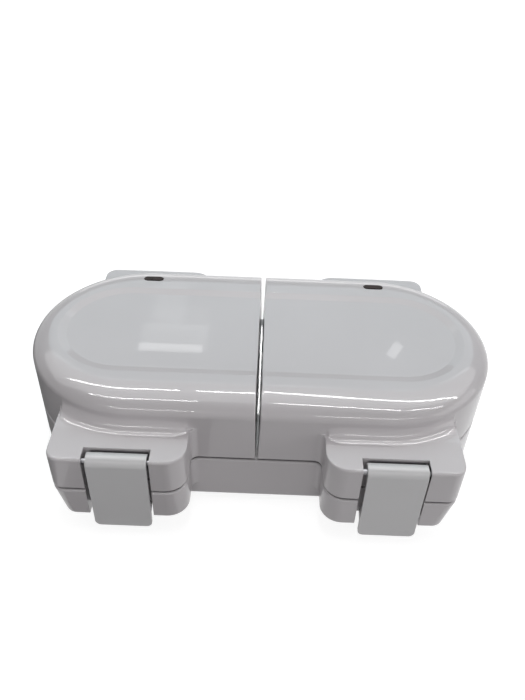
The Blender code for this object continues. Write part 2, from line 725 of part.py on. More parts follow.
for side, word in ((1, "right"), (-1, "left")):
    lid_frame = empty(f"{word}_lid_hinge", (0, HINGE_Y, HINGE_Z), body)
    pivot = Vector((side * NOTCH_X, PIVOT_Y, PIVOT_Z))
    latch_frame = empty(f"{word}_latch_pivot", pivot - lid_frame.location, lid_frame)

    def cut(name, mesh, parent, over=False):
        return keep(f"{word}_{name}", placed(mesh, side, over), parent)

    boolean(hollow, cut("base_guard", notch_guard(), body))
    boolean(base_shell, cut("base_notch", notch_room(), body))
    keeper_front = CATCH_REACH + CLIP_THICK + TOUCH - FRONT_REACH
    keeper_z = CATCH_TOP_Z + TOUCH
    keeper = block(
        "keeper",
        (NOTCH_X - KEEPER_WIDTH / 2, keeper_front, keeper_z),
        (NOTCH_X + KEEPER_WIDTH / 2, WALL / 2 - NOTCH_BACK, keeper_z + KEEPER_HEIGHT),
    )
    boolean(base_shell, cut("keeper", keeper, body), "UNION")
    boolean(base_shell, cut("base_seat", plate_seat(), body))
    boolean(base_shell, cut("base_well", plate_well(), body))

    # Hinge: two knuckles on the base, with a pocket between them for the lid's knuckle.
    for end, (x0, x1) in enumerate(((knuckle_x0, knuckle_x1), (knuckle_x2, knuckle_x3))):
        knuckle = rod("knuckle", KNUCKLE_R, (x0, HINGE_Y, HINGE_Z), (x1, HINGE_Y, HINGE_Z))
        boolean(base_shell, cut(f"base_knuckle_{end}", knuckle, body), "UNION")
    ends = [(x, HINGE_Y, HINGE_Z) for x in (knuckle_x1, knuckle_x2)]
    boolean(base_shell, cut("hinge_pocket", rod("pocket", KNUCKLE_R + KNUCKLE_PLAY, *ends), body))
    bore = rod("bore", HINGE_PIN_R + PIN_PLAY, *hinge_bore)
    boolean(base_shell, cut("base_hinge_bore", bore, body))
    ends = [(side * x, HINGE_Y, HINGE_Z) for x in (knuckle_x0, knuckle_x3)]
    keep(f"{word}_hinge_pin", rod("pin", HINGE_PIN_R, *ends), body, STEEL)

    # Posts that carry the tray, each with a screw from below.
    under, post_top = FOOT_HEIGHT + SCREW_HEAD, TRAY_Z - TOUCH
    tip = FLOOR_TOP + (post_top - FLOOR_TOP) * SCREW_SHARE
    for number, x in enumerate(POST_XS, 1):
        post = rod("post", POST_R, (x, 0, FLOOR_TOP - WALL / 2), (x, 0, post_top))
        boolean(base_shell, cut(f"base_post_{number}", post, body), "UNION")
        shaft = rod("shaft", SCREW_R + PIN_PLAY, (x, 0, 0), (x, 0, tip + TOUCH))
        boolean(base_shell, cut(f"base_screw_hole_{number}", shaft, body))
        sink = rod("sink", SCREW_HEAD_R + PIN_PLAY, (x, 0, 0), (x, 0, under + TOUCH))
        boolean(base_shell, cut(f"base_screw_sink_{number}", sink, body))
        profile = screw_profile(under, tip)
        turned(f"{word}_base_screw_{number}", profile, body, STEEL, (side * x, 0, 0))

    # Feet.
    foot_x, foot_y = ROUND_X + FOOT_BEYOND, HALF_WIDTH - FOOT_FROM_SIDE
    for y, place in ((-foot_y, "front"), (foot_y, "rear")):
        ends = [(foot_x, y, 0), (foot_x, y, FLOOR_TOP + OVERRUN)]
        hole = rod("hole", FOOT_STEM_R + PIN_PLAY, *ends)
        boolean(base_shell, cut(f"{place}_foot_hole", hole, body))
        top = FOOT_HEIGHT - TOUCH
        profile = [(0, top + FOOT_STEM), (FOOT_STEM_R, top + FOOT_STEM), (FOOT_STEM_R, top)]
        profile += [(FOOT_TOP_R, top), (FOOT_R, 0), (0, 0)]
        turned(f"{word}_{place}_foot", profile, body, RUBBER, (side * foot_x, y, 0))

    # Lid shell.
    skin = placed(lid_skin(f"{word}_lid_shell"), side)
    lid_shell = keep(f"{word}_lid_shell", skin, lid_frame, SHELL)
    inner = cut("lid_hollow", lid_hollow("lid_hollow"), lid_frame)
    boolean(inner, cut("lid_guard", notch_guard(), lid_frame))
    boolean(lid_shell, inner)
    boolean(lid_shell, cut("lid_notch", notch_room(), lid_frame))
    boolean(lid_shell, cut("lid_seat", plate_seat(), lid_frame, over=True))
    boolean(lid_shell, cut("lid_well", plate_well(), lid_frame, over=True))
    boolean(lid_shell, cut("recess", recess_bowl(), lid_frame))

    # Hinge on the lid: a slot that clears the base, then the knuckle on its web.
    slot_z = HINGE_Z + LID_SLOT_RISE
    slot = block(
        "slot",
        (HANDLE_X0 - OVERRUN, HINGE_Y - WEB_FRONT, 0),
        (HANDLE_X1 + OVERRUN, BOSS_REACH + OVERRUN, slot_z),
    )
    boolean(lid_shell, cut("hinge_slot", slot, lid_frame))
    knuckle_low, knuckle_high = knuckle_x1 + KNUCKLE_PLAY, knuckle_x2 - KNUCKLE_PLAY
    web = block(
        "web",
        (knuckle_low + WEB_INSET, HINGE_Y - WEB_FRONT - WALL, LID_BOTTOM + SEAM_EDGE),
        (knuckle_high - WEB_INSET, HINGE_Y, slot_z + WALL),
    )
    boolean(lid_shell, cut("knuckle_web", web, lid_frame), "UNION")
    ends = [(x, HINGE_Y, HINGE_Z) for x in (knuckle_low, knuckle_high)]
    boolean(lid_shell, cut("lid_knuckle", rod("knuckle", KNUCKLE_R, *ends), lid_frame), "UNION")
    bore = rod("bore", HINGE_PIN_R + PIN_PLAY, *hinge_bore)
    boolean(lid_shell, cut("lid_hinge_bore", bore, lid_frame))

    # Posts under the roof, each with a screw through the tray.
    under, post_low = tray_top - TRAY_SHEET - TOUCH, tray_top + TOUCH
    tip = post_low + (ROOF_UNDER - post_low) * SCREW_SHARE
    for number, x in enumerate(POST_XS, 1):
        post = rod("post", POST_R, (x, 0, post_low), (x, 0, ROOF_UNDER + WALL / 2))
        boolean(lid_shell, cut(f"lid_post_{number}", post, lid_frame), "UNION")
        shaft = rod("shaft", SCREW_R + PIN_PLAY, (x, 0, tray_top), (x, 0, tip + TOUCH))
        boolean(lid_shell, cut(f"lid_screw_hole_{number}", shaft, lid_frame))
        profile = screw_profile(under, tip)
        turned(f"{word}_lid_screw_{number}", profile, lid_frame, STEEL, (side * x, 0, 0))

    # Indicator window and its lamp.
    window_y = HALF_WIDTH - WINDOW_FROM_BACK
    drop = ROLL_HEIGHT * (1 - math.sqrt(1 - ((window_y - PLATEAU_R) / ROLL_WIDTH) ** 2))
    tilt = Matrix.Rotation(-math.radians(WINDOW_TILT_DEG), 4, "X")
    centre = Vector((ROUND_X + WINDOW_BEYOND, window_y, LID_TOP + WINDOW_PROUD - drop))
    centre = Matrix.Translation(centre) @ tilt
    room = pill(WINDOW_LENGTH + 2 * TOUCH, WINDOW_WIDTH + 2 * TOUCH)
    hole = prism("window_hole", room, -WINDOW_THICK - WALL * 2, WALL, centre)
    boolean(lid_shell, cut("window_hole", hole, lid_frame))
    lens = prism("window", pill(WINDOW_LENGTH, WINDOW_WIDTH), -WINDOW_THICK, 0, centre)
    keep(f"{word}_indicator_window", placed(lens, side), lid_frame, LENS)
    depth = WINDOW_THICK + TOUCH + LAMP_R
    ends = [centre @ Vector((x, 0, -depth)) for x in (-LAMP_LENGTH / 2, LAMP_LENGTH / 2)]
    keep(f"{word}_indicator_lamp", placed(rod("lamp", LAMP_R, *ends), side), lid_frame, LAMP)

    # Plates, heaters and trays: the lid's are the base's turned over.
    base_end = FLOOR_TOP + ELEMENT_END_GAP
    lid_end = 2 * PARTING_Z - ROOF_UNDER + ELEMENT_END_GAP
    levels = ((False, body, "lower", base_end), (True, lid_frame, "upper", lid_end))
    for over, parent, level, end_z in levels:
        rim = prism("plate", plate_plan(PLATE_INSET), PLATE_FACE - PLATE_RIM, PLATE_FACE)
        plate = keep(f"{word}_{level}_plate", placed(rim, side, over), parent, COATED)
        x0, x1, y = POCKET_X0 - POCKET_WALL, POCKET_X1 + POCKET_WALL, POCKET_Y + POCKET_WALL
        plan = rounded([(x0, -y), (x1, -y), (x1, y), (x0, y)], [POCKET_CORNER_R + POCKET_WALL] * 4)
        pan = prism("pan", plan, BLOCK_Z, PLATE_FACE - PLATE_RIM / 2)
        boolean(plate, cut(f"{level}_plate_block", pan, parent, over), "UNION")
        mouths, floors = pocket_plans(0), pocket_plans(POCKET_DRAFT)
        for number, (mouth, floor) in enumerate(zip(mouths, floors), 1):
            rings = [[(*p, BLOCK_Z + POCKET_FLOOR) for p in floor]]
            rings += [[(*p, z) for p in mouth] for z in (PLATE_FACE, PLATE_FACE + OVERRUN)]
            boolean(plate, cut(f"{level}_pocket_{number}", loft("pocket", rings), parent, over))
        path = element_path(end_z)
        tube(f"{word}_{level}_element", path, ELEMENT_R, parent, HEATER, side, over)
        inset = PLATE_INSET + PLATE_LEDGE + TRAY_PLAY
        pan = prism("tray", plate_plan(inset), TRAY_Z, LEDGE_Z)
        tray = keep(f"{word}_{level}_tray", placed(pan, side, over), parent, SHEET)
        floor_z = TRAY_Z + TRAY_SHEET
        room = prism("tray_room", plate_plan(inset + TRAY_SHEET), floor_z, LEDGE_Z + OVERRUN)
        boolean(tray, cut(f"{level}_tray_room", room, parent, over))
        holes = [(x, ELEMENT_Y, ELEMENT_R + TRAY_HOLE_PLAY) for x in ELEMENT_END_XS]
        if over:
            holes += [(x, 0, SCREW_R + PIN_PLAY) for x in POST_XS]
        for number, (x, y, radius) in enumerate(holes, 1):
            hole = rod("hole", radius, (x, y, TRAY_Z - OVERRUN), (x, y, floor_z + OVERRUN))
            boolean(tray, cut(f"{level}_tray_hole_{number}", hole, parent, over))

    # Thermostat under the lower tray.
    ends = [(POCKET_X, -THERMOSTAT_FORWARD, z) for z in (FLOOR_TOP + THERMOSTAT_GAP, post_top)]
    can = rod("thermostat", THERMOSTAT_R, *ends)
    keep(f"{word}_thermostat", placed(can, side), body, BAKELITE)

    # Latch pin across the notch, and the clip that hangs on it.
    reach = NOTCH_WIDTH / 2 + WALL
    ends = [pivot + Vector((x, 0, 0)) for x in (-reach, reach)]
    keep(f"{word}_latch_pin", rod("latch_pin", LATCH_PIN_R, *ends), lid_frame, STEEL)
    ends = [pivot + Vector((x, 0, 0)) for x in (-reach - OVERRUN, reach + OVERRUN)]
    for target, frame in ((lid_shell, lid_frame), (None, latch_frame)):
        if not target:
            target = keep(f"{word}_latch_clip", clip_body(side), frame, CLIP, pivot)
        bore = keep(f"{target.name}_pin_hole", rod("hole", LATCH_PIN_R + PIN_PLAY, *ends), frame)
        boolean(target, bore)

# Electrics on the floor of the base.
size = Vector(TERMINAL_SIZE)
low = Vector((-size.x / 2, HALF_WIDTH - TERMINAL_FROM_BACK - size.y / 2, FLOOR_TOP + TOUCH))
keep("terminal_block", block("terminal_block", low, low + size), body, CREAM)
fuse_y, fuse_z = HALF_WIDTH - FUSE_FROM_BACK, FLOOR_TOP + TOUCH + FUSE_R
ends = [(x, fuse_y, fuse_z) for x in (-FUSE_LENGTH / 2, FUSE_LENGTH / 2)]
keep("thermal_fuse", rod("thermal_fuse", FUSE_R, *ends), body, STEEL)

# Cord outlet: a bush in the back wall, turned about its own axis and then laid along y.
ends = [(0, y, GLAND_Z) for y in (HALF_WIDTH - WALL - OVERRUN, HALF_WIDTH + OVERRUN)]
hole = rod("gland_hole", GLAND_NECK_R + TOUCH, *ends)
boolean(base_shell, keep("gland_hole", hole, body))
inside, outside = -WALL - TOUCH, TOUCH
profile = [
    (GLAND_BORE_R, outside + GLAND_FLANGE + GLAND_BOOT),
    (GLAND_BOOT_R1, outside + GLAND_FLANGE + GLAND_BOOT),
    (GLAND_BOOT_R0, outside + GLAND_FLANGE),
    (GLAND_FLANGE_R, outside + GLAND_FLANGE),
    (GLAND_FLANGE_R, outside),
    (GLAND_NECK_R, outside),
    (GLAND_NECK_R, inside),
    (GLAND_FLANGE_R, inside),
    (GLAND_FLANGE_R, inside - GLAND_FLANGE),
    (GLAND_BORE_R, inside - GLAND_FLANGE),
]
gland = turned("cord_gland", profile, body, GLAND, (0, HALF_WIDTH, GLAND_Z), closed=True)
gland.rotation_euler = (math.radians(-90), 0, 0)
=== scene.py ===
"""Looks of the double sandwich maker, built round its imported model.

Pieces are drawn in the part's own coordinates, in metres, and then moved back by CENTRE_Y.
"""

import math

import bmesh
import bpy
from mathutils import Matrix, Vector


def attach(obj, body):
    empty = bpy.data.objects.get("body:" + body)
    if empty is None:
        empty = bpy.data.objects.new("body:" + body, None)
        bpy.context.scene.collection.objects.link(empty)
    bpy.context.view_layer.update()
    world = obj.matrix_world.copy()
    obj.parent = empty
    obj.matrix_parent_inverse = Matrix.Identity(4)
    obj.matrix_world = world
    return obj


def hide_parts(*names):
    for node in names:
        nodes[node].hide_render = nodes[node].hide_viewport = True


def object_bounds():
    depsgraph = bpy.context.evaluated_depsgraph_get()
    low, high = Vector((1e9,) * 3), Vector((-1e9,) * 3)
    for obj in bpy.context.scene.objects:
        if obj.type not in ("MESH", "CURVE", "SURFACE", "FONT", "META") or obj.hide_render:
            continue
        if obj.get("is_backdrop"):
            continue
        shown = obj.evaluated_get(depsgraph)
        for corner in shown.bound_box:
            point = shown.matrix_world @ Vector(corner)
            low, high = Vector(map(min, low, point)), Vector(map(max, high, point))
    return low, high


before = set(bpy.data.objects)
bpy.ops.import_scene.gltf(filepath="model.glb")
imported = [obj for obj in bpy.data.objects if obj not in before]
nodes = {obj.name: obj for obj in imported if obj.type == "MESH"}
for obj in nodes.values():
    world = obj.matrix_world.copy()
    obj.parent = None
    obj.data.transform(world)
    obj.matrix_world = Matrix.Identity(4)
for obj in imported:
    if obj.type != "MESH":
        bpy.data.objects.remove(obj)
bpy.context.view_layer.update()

# Sizes in metres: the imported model's, and the scene's own for roundings and small details.
HALF_LENGTH = 0.185
HALF_WIDTH = 0.090
FOOT_HEIGHT = 0.005
PARTING_Z = 0.0476
PARTING_GAP = 0.001
LID_TOP = 0.103
HANDLE_BOTTOM = 0.020
WALL = 0.003
TOUCH = 0.0003
PIN_PLAY = 0.0003
OVERRUN = 0.002
ROLL_HEIGHT = 0.0125
ROLL_WIDTH = 0.0275
ROLL_END_WIDTH = 0.020
SEAM_EDGE = 0.0013
SEAM_RISE = 0.0011
GAP_LOW = 0.00075
GAP_HIGH = 0.0021
GAP_CORNER = 0.001
RECESS_SIDE = 0.035
RECESS_END = 0.020
RECESS_DEPTH = 0.0016
RECESS_SLOPE = 0.008
RECESS_BEND_SHARE = 0.15
HANDLE_FROM_END = 0.036
HANDLE_WIDTH = 0.0992
HANDLE_OUT = 0.0347
BOSS_OUT = 0.026
HANDLE_INNER_R = 0.016
HANDLE_OUTER_R = 0.0095
HANDLE_EDGE_R = 0.002
HANDLE_FILLET = 0.010
HANDLE_BAND = 0.0001
SIDE_FILLET = 0.006
BASE_LEAN = 0.0065
BASE_EDGE_R = 0.004
BASE_RIM_R = 0.0017
NOTCH_WIDTH = 0.048
NOTCH_DEPTH = 0.0125
CLIP_WIDTH = 0.043
CLIP_PROUD = 0.0017
CLIP_BEND_R = 0.0065
CLIP_THICK = 0.0027
CLIP_BOTTOM_Z = 0.0095
CLIP_CORNER_R = 0.0045
CLIP_RISE = 0.0007
CLIP_SHIFT = 0.0008
CATCH_HEIGHT = 0.0055
CATCH_TOP_Z = 0.0295
CATCH_REACH = 0.0062
KEEPER_HEIGHT = 0.008
KEEPER_WIDTH = 0.0215
LATCH_PIN_R = 0.002
HINGE_IN = 0.010
HINGE_RISE = 0.0034
KNUCKLE_R = 0.0075
KNUCKLE_PLAY = 0.0005
BASE_KNUCKLE_WIDTH = 0.014
BASE_KNUCKLE_INSET = 0.006
HINGE_PIN_R = 0.0025
LID_SLOT_RISE = 0.0135
WEB_FRONT = 0.0085
WEB_INSET = 0.001
PLATE_INSET = 0.010
PLATE_LEDGE = 0.003
PLATE_RIM = 0.003
PLATE_DROP = 0.0005
PLATE_DEPTH = 0.016
PLATE_CORNER_R = 0.012
POCKET_SIDE_EDGE = 0.021
POCKET_INNER_EDGE = 0.01325
POCKET_ROOM = 0.0054
POCKET_WALL = 0.003
POCKET_FLOOR = 0.003
POCKET_CORNER_R = 0.017
POCKET_TIP_R = 0.005
POCKET_DRAFT = 0.004
DIVIDER = 0.009
LEDGE_THICK = 0.0032
ELEMENT_R = 0.0032
TRAY_SHEET = 0.0012
POST_R = 0.005
POST_SPREAD = 0.020
SCREW_R = 0.0017
SCREW_HEAD_R = 0.004
SCREW_HEAD = 0.0021
SCREW_SHARE = 0.6
SCREW_FLAT_R = 0.0026
SCREW_CROWN_R = 0.0036
SCREW_CROWN = 0.0004
SCREW_CROWN_LOW = 0.0011
SCREW_TIP = 0.0008
CROSS_LONG = 0.0021
CROSS_THIN = 0.0004
CROSS_DEPTH = 0.0012
PIN_EDGE_R = 0.0004
LENS_BEVEL = 0.0003
CLIP_BEVEL = 0.0005
FOOT_R = 0.009
FOOT_TOP_R = 0.010
FOOT_STEM_R = 0.003
FOOT_EDGE = 0.0006
FOOT_TOP_EDGE = 0.0005
FOOT_BEYOND = 0.030
FOOT_FROM_SIDE = 0.042
GLAND_NECK_R = 0.008
GLAND_FLANGE_R = 0.011
GLAND_FLANGE = 0.0025
GLAND_EDGE = 0.0006
GLAND_RIBS = 5
GLAND_RIB_STEPS = 8
GLAND_RIB_DEPTH = 0.0009
GLAND_BOOT = 0.018
GLAND_BOOT_R0 = 0.0075
GLAND_BOOT_R1 = 0.0055
GLAND_BORE_R = 0.0036
WINDOW_BEYOND = 0.0025
WINDOW_FROM_BACK = 0.0205
WINDOW_LENGTH = 0.017
WINDOW_WIDTH = 0.007
WINDOW_THICK = 0.0045
WINDOW_PROUD = 0.0004
WINDOW_TILT_DEG = 7.5

# Radius and height of the underside of a foot: a dish in its middle, then a groove.
FOOT_PAD = [(0, 0.0004), (0.0052, 0.0004), (0.0056, 0), (0.0064, 0), (0.0066, 0.0006)]
FOOT_PAD += [(0.0070, 0.0006), (0.0072, 0)]

# Where a fold counts as an edge, in degrees.
SHARP_DEG = 35.0

# Facets of the fine pieces.
ARC_STEPS = 10
SMALL_STEPS = 6
CORNER_STEPS = 3
END_STEPS = 18
ROUND_STEPS = 48
ROLL_STEPS = 14
FILLET_STEPS = 10
EDGE_STEPS = 5
BEND_STEPS = 6

ROUND_X = HALF_LENGTH - HALF_WIDTH
PLATEAU_R = HALF_WIDTH - ROLL_WIDTH
PLATEAU_ROUND_X = HALF_LENGTH - ROLL_END_WIDTH - PLATEAU_R
RECESS_R = HALF_WIDTH - RECESS_SIDE
RECESS_ROUND_X = HALF_LENGTH - RECESS_END - RECESS_R
HANDLE_REACH = HALF_WIDTH + HANDLE_OUT
BOSS_REACH = HALF_WIDTH + BOSS_OUT
HANDLE_X1 = HALF_LENGTH - HANDLE_FROM_END
HANDLE_X0 = HANDLE_X1 - HANDLE_WIDTH
HANDLE_TOP = LID_TOP - ROLL_HEIGHT - HANDLE_BAND - HANDLE_FILLET
FRONT_REACH = HANDLE_REACH + CLIP_PROUD
CENTRE_Y = (FRONT_REACH - BOSS_REACH) / 2
KNUCKLE_X0 = HANDLE_X0 + BASE_KNUCKLE_INSET
KNUCKLE_X3 = HANDLE_X1 - BASE_KNUCKLE_INSET
KNUCKLE_X1 = KNUCKLE_X0 + BASE_KNUCKLE_WIDTH
KNUCKLE_X2 = KNUCKLE_X3 - BASE_KNUCKLE_WIDTH
BASE_TOP = PARTING_Z - PARTING_GAP / 2
LID_BOTTOM = PARTING_Z + PARTING_GAP / 2
FLOOR_TOP = FOOT_HEIGHT + WALL
ROOF_UNDER = LID_TOP - RECESS_DEPTH - WALL - TOUCH
NOTCH_X = (HANDLE_X0 + HANDLE_X1) / 2
NOTCH_BACK = HANDLE_REACH - NOTCH_DEPTH
KEEPER_FRONT = CATCH_REACH + CLIP_THICK + TOUCH - FRONT_REACH
KEEPER_LOW = CATCH_TOP_Z + TOUCH
PIVOT_Y = CLIP_BEND_R - FRONT_REACH
PIVOT_Z = HANDLE_TOP + CLIP_RISE - CLIP_BEND_R
HINGE_Y = BOSS_REACH - HINGE_IN
HINGE_Z = PARTING_Z + HINGE_RISE
PLATE_FACE = BASE_TOP - PLATE_DROP
LEDGE_Z = PLATE_FACE - PLATE_RIM - TOUCH
DECK_UNDER = LEDGE_Z - LEDGE_THICK
GLAND_Z = (FLOOR_TOP + DECK_UNDER) / 2
BLOCK_Z = PLATE_FACE - PLATE_DEPTH
TRAY_Z = BLOCK_Z - 2 * (TOUCH + ELEMENT_R) - TRAY_SHEET
TRAY_TOP = 2 * PARTING_Z - TRAY_Z
POCKET_Y = HALF_WIDTH - PLATE_INSET - POCKET_SIDE_EDGE
POCKET_X0 = GAP_LOW + PLATE_INSET + POCKET_INNER_EDGE
POCKET_REACH = HALF_WIDTH - PLATE_INSET - PLATE_LEDGE - POCKET_ROOM - POCKET_WALL
CORNER_SPOKE = POCKET_REACH - POCKET_CORNER_R
CORNER_RUN = math.sqrt(CORNER_SPOKE**2 - (POCKET_Y - POCKET_CORNER_R) ** 2)
POCKET_X1 = ROUND_X + CORNER_RUN + POCKET_CORNER_R
POCKET_X = (POCKET_X0 + POCKET_X1) / 2
POST_XS = (POCKET_X - POST_SPREAD, POCKET_X + POST_SPREAD)


# ---------------------------------------------------------------- mesh tools


def mesh_of(bm, name):
    mesh = bpy.data.meshes.new(name)
    bm.to_mesh(mesh)
    bm.free()
    return mesh


def linked(name, data):
    """A new object in the scene that shows some data."""
    made = bpy.data.objects.new(name, data)
    bpy.context.scene.collection.objects.link(made)
    return made


def loft(name, rings):
    """A closed skin through rings of the same number of points, capped at both ends."""
    bm = bmesh.new()
    rows = [[bm.verts.new(point) for point in ring] for ring in rings]
    for low, high in zip(rows, rows[1:]):
        count = len(low)
        for i in range(count):
            j = (i + 1) % count
            bm.faces.new((low[i], low[j], high[j], high[i]))
    bm.faces.new(rows[0][::-1])
    bm.faces.new(rows[-1])
    bmesh.ops.recalc_face_normals(bm, faces=bm.faces)
    return mesh_of(bm, name)


def prism(name, outline, low, high, turn=None):
    """An outline drawn up between two heights, and then turned into place."""
    mesh = loft(name, [[(x, y, z) for x, y in outline] for z in (low, high)])
    if turn:
        mesh.transform(turn)
    return mesh


def block(name, low, high):
    """A box between two opposite corners."""
    low, high = Vector(low), Vector(high)
    bm = bmesh.new()
    bmesh.ops.create_cube(bm, size=1)
    bmesh.ops.scale(bm, vec=high - low, verts=bm.verts)
    bmesh.ops.translate(bm, vec=(low + high) / 2, verts=bm.verts)
    return mesh_of(bm, name)


def lathe(name, profile, start, end, steps=ROUND_STEPS):
    """Turns (radius, height) points, run from axis to axis, about the line from start to end."""
    start, end = Vector(start), Vector(end)
    spin = (end - start).to_track_quat("Z", "Y").to_matrix().to_4x4()
    bm = bmesh.new()
    rows = []
    for radius, z in profile:
        if radius == 0:
            rows.append([bm.verts.new((0, 0, z))])
            continue
        angles = [2 * math.pi * i / steps for i in range(steps)]
        rows.append([bm.verts.new((radius * math.cos(a), radius * math.sin(a), z)) for a in angles])
    for low, high in zip(rows, rows[1:]):
        for i in range(steps):
            j = (i + 1) % steps
            ring = [low[0]] if len(low) == 1 else [low[i], low[j]]
            ring += [high[0]] if len(high) == 1 else [high[j], high[i]]
            bm.faces.new(ring)
    if len(rows[0]) > 1 and len(rows[-1]) > 1:
        for i in range(steps):
            j = (i + 1) % steps
            bm.faces.new((rows[-1][i], rows[-1][j], rows[0][j], rows[0][i]))
    bmesh.ops.recalc_face_normals(bm, faces=bm.faces)
    mesh = mesh_of(bm, name)
    mesh.transform(Matrix.Translation(start) @ spin)
    return mesh


def rod(name, radius, start, end, edge=0.0, steps=ROUND_STEPS):
    """A cylinder between two points, with rounded ends when edge is given."""
    length = (Vector(end) - Vector(start)).length
    if not edge:
        profile = [(0, 0), (radius, 0), (radius, length), (0, length)]
        return lathe(name, profile, start, end, steps)
    low = [(radius - edge + y, edge - x) for x, y in arc(0, 0, edge, 0, 90, CORNER_STEPS)]
    profile = [(0, 0)] + low + [(r, length - z) for r, z in low[::-1]] + [(0, length)]
    return lathe(name, profile, start, end, steps)


def arc(cx, cy, radius, start, end, steps):
    """Points on an arc, its angles in degrees."""
    angles = [math.radians(start + (end - start) * i / steps) for i in range(steps + 1)]
    return [(cx + radius * math.cos(a), cy + radius * math.sin(a)) for a in angles]


def rounded(corners, radii):
    """A polygon with each corner rounded by its own radius, run the way its corners run."""
    outline = []
    count = len(corners)
    for i, corner in enumerate(corners):
        here = Vector(corner)
        before = (Vector(corners[i - 1]) - here).normalized()
        after = (Vector(corners[(i + 1) % count]) - here).normalized()
        half = before.angle(after) / 2
        cut = radii[i] / math.tan(half)
        middle = here + (before + after).normalized() * (radii[i] / math.sin(half))
        first, last = here + before * cut - middle, here + after * cut - middle
        swing = first.angle_signed(last)
        for step in range(ARC_STEPS + 1):
            spoke = first.copy()
            spoke.rotate(Matrix.Rotation(-swing * step / ARC_STEPS, 2))
            outline.append(tuple(middle + spoke))
    return outline


def placed(mesh, side, over=False):
    """A mesh drawn for the base's right half, moved to the left half or up into a lid."""
    if over:
        mesh.transform(Matrix.Translation((0, 0, 2 * PARTING_Z)) @ Matrix.Scale(-1, 4, (0, 0, 1)))
        mesh.flip_normals()
    if side < 0:
        mesh.transform(Matrix.Scale(-1, 4, (1, 0, 0)))
        mesh.flip_normals()
    return mesh


def carve(mesh, steps):
    """Applies (mesh, operation) steps to a mesh and returns the result."""
    target = linked("carved", mesh)
    tools = []
    for tool_mesh, operation in steps:
        tools.append(linked("tool", tool_mesh))
        change = target.modifiers.new("cut", "BOOLEAN")
        change.operation, change.solver, change.object = operation, "MANIFOLD", tools[-1]
    bpy.context.view_layer.update()
    graph = bpy.context.evaluated_depsgraph_get()
    made = bpy.data.meshes.new_from_object(target.evaluated_get(graph))
    for done in (target, *tools):
        bpy.data.objects.remove(done)
    return made


def cutter(steps, side):
    """A short way to add steps that are drawn for the base's right half."""

    def cut(mesh, operation="DIFFERENCE", over=False):
        steps.append((placed(mesh, side, over), operation))

    return cut


def piece(name, mesh, body, material, node, bevel=0.0):
    """Shows a finished mesh for a node on its body, smooth, with its flat planes kept flat."""
    mesh.transform(Matrix.Translation((0, CENTRE_Y, 0)))
    mesh.materials.clear()
    mesh.materials.append(material)
    made = linked(name, mesh)
    if bevel:
        edge = made.modifiers.new("edge", "BEVEL")
        edge.width, edge.segments, edge.limit_method = bevel, CORNER_STEPS, "ANGLE"
        edge.angle_limit = math.radians(SHARP_DEG)
        edge.harden_normals = True
    mesh.shade_smooth()
    mesh.set_sharp_from_angle(angle=math.radians(SHARP_DEG))
    weigh = made.modifiers.new("normals", "WEIGHTED_NORMAL")
    weigh.keep_sharp = True
    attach(made, body)
    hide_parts(node)


# ---------------------------------------------------------------- shapes of the shells


def on_wall(share, round_x, radius):
    """A point on the plain wall: 0 to 1 runs along its straight, and 1 to 2 round its end."""
    if share <= 1:
        return round_x * share, radius
    angle = math.radians(90 * (2 - share))
    return round_x + radius * math.cos(angle), radius * math.sin(angle)


def handle_plan(reach, outer_x, inset):
    """Plan of one handle at +y, each point with the share of the plain wall behind it."""
    wall = HALF_WIDTH - inset
    reach, x0, x1 = reach - inset, HANDLE_X0 + inset, outer_x - inset
    inner_r, outer_r, fillet = HANDLE_INNER_R - inset, HANDLE_OUTER_R - inset, SIDE_FILLET + inset
    inner = arc(x0 - fillet, wall + fillet, fillet, -90, 0, SMALL_STEPS)
    inner += arc(x0 + inner_r, reach - inner_r, inner_r, 180, 90, ARC_STEPS)
    outer = arc(x1 - outer_r, reach - outer_r, outer_r, 90, 0, ARC_STEPS)
    foot_x = x1 + fillet
    foot_y = math.sqrt((wall + fillet) ** 2 - (foot_x - ROUND_X) ** 2)
    lean = math.degrees(math.atan2(foot_y, foot_x - ROUND_X))
    outer += arc(foot_x, foot_y, fillet, 180, 180 + lean, SMALL_STEPS)
    start, turn = (x0 - fillet) / ROUND_X, (x0 + inner_r) / ROUND_X
    back = 1 + math.degrees(math.asin((x1 - outer_r - ROUND_X) / wall)) / 90
    end = 1 + (90 - lean) / 90
    plan = [(p, start + (turn - start) * i / (len(inner) - 1)) for i, p in enumerate(inner)]
    for i in range(SMALL_STEPS + 1):
        share = 1 + (back - 1) * i / (SMALL_STEPS + 1)
        plan.append(((on_wall(share, ROUND_X, wall)[0], reach), share))
    plan += [(p, back + (end - back) * i / (len(outer) - 1)) for i, p in enumerate(outer)]
    return plan


def quarter(way, height, round_x, radius, reach, weight, outer_x, inset):
    """One handle's stretch of a level's outline, and the share of the wall that it ends at."""
    points = []
    for (hx, hy), share in handle_plan(reach, outer_x, inset):
        wx, wy = on_wall(share, round_x, radius)
        points.append((wx + (hx - wx) * weight, way * (wy + (hy - wy) * weight), height))
    return points, share


def half_ring(
    z, round_x, radius, front=0.0, back=0.0, gap=None, corner=0.0, outer_x=HANDLE_X1, inset=0.0
):
    """The right half of a level's outline, from the front middle round the end to the back."""
    fore, last = quarter(-1, z, round_x, radius, HANDLE_REACH, front, outer_x, inset)
    aft, _ = quarter(1, z, round_x, radius, BOSS_REACH, back, outer_x, inset)
    bend = [(0.0, radius)]
    if gap is not None:
        bend = arc(gap + corner, radius - corner, corner, 180, 90, CORNER_STEPS)
    ring = [(x, -y, z) for x, y in bend] + fore
    for i in range(1, END_STEPS * 2):
        share = last + (2 - last) * i / END_STEPS
        x, y = on_wall(min(share, 4 - share), round_x, radius)
        ring.append((x, -y if share <= 2 else y, z))
    return ring + aft[::-1] + [(x, y, z) for x, y in bend[::-1]]


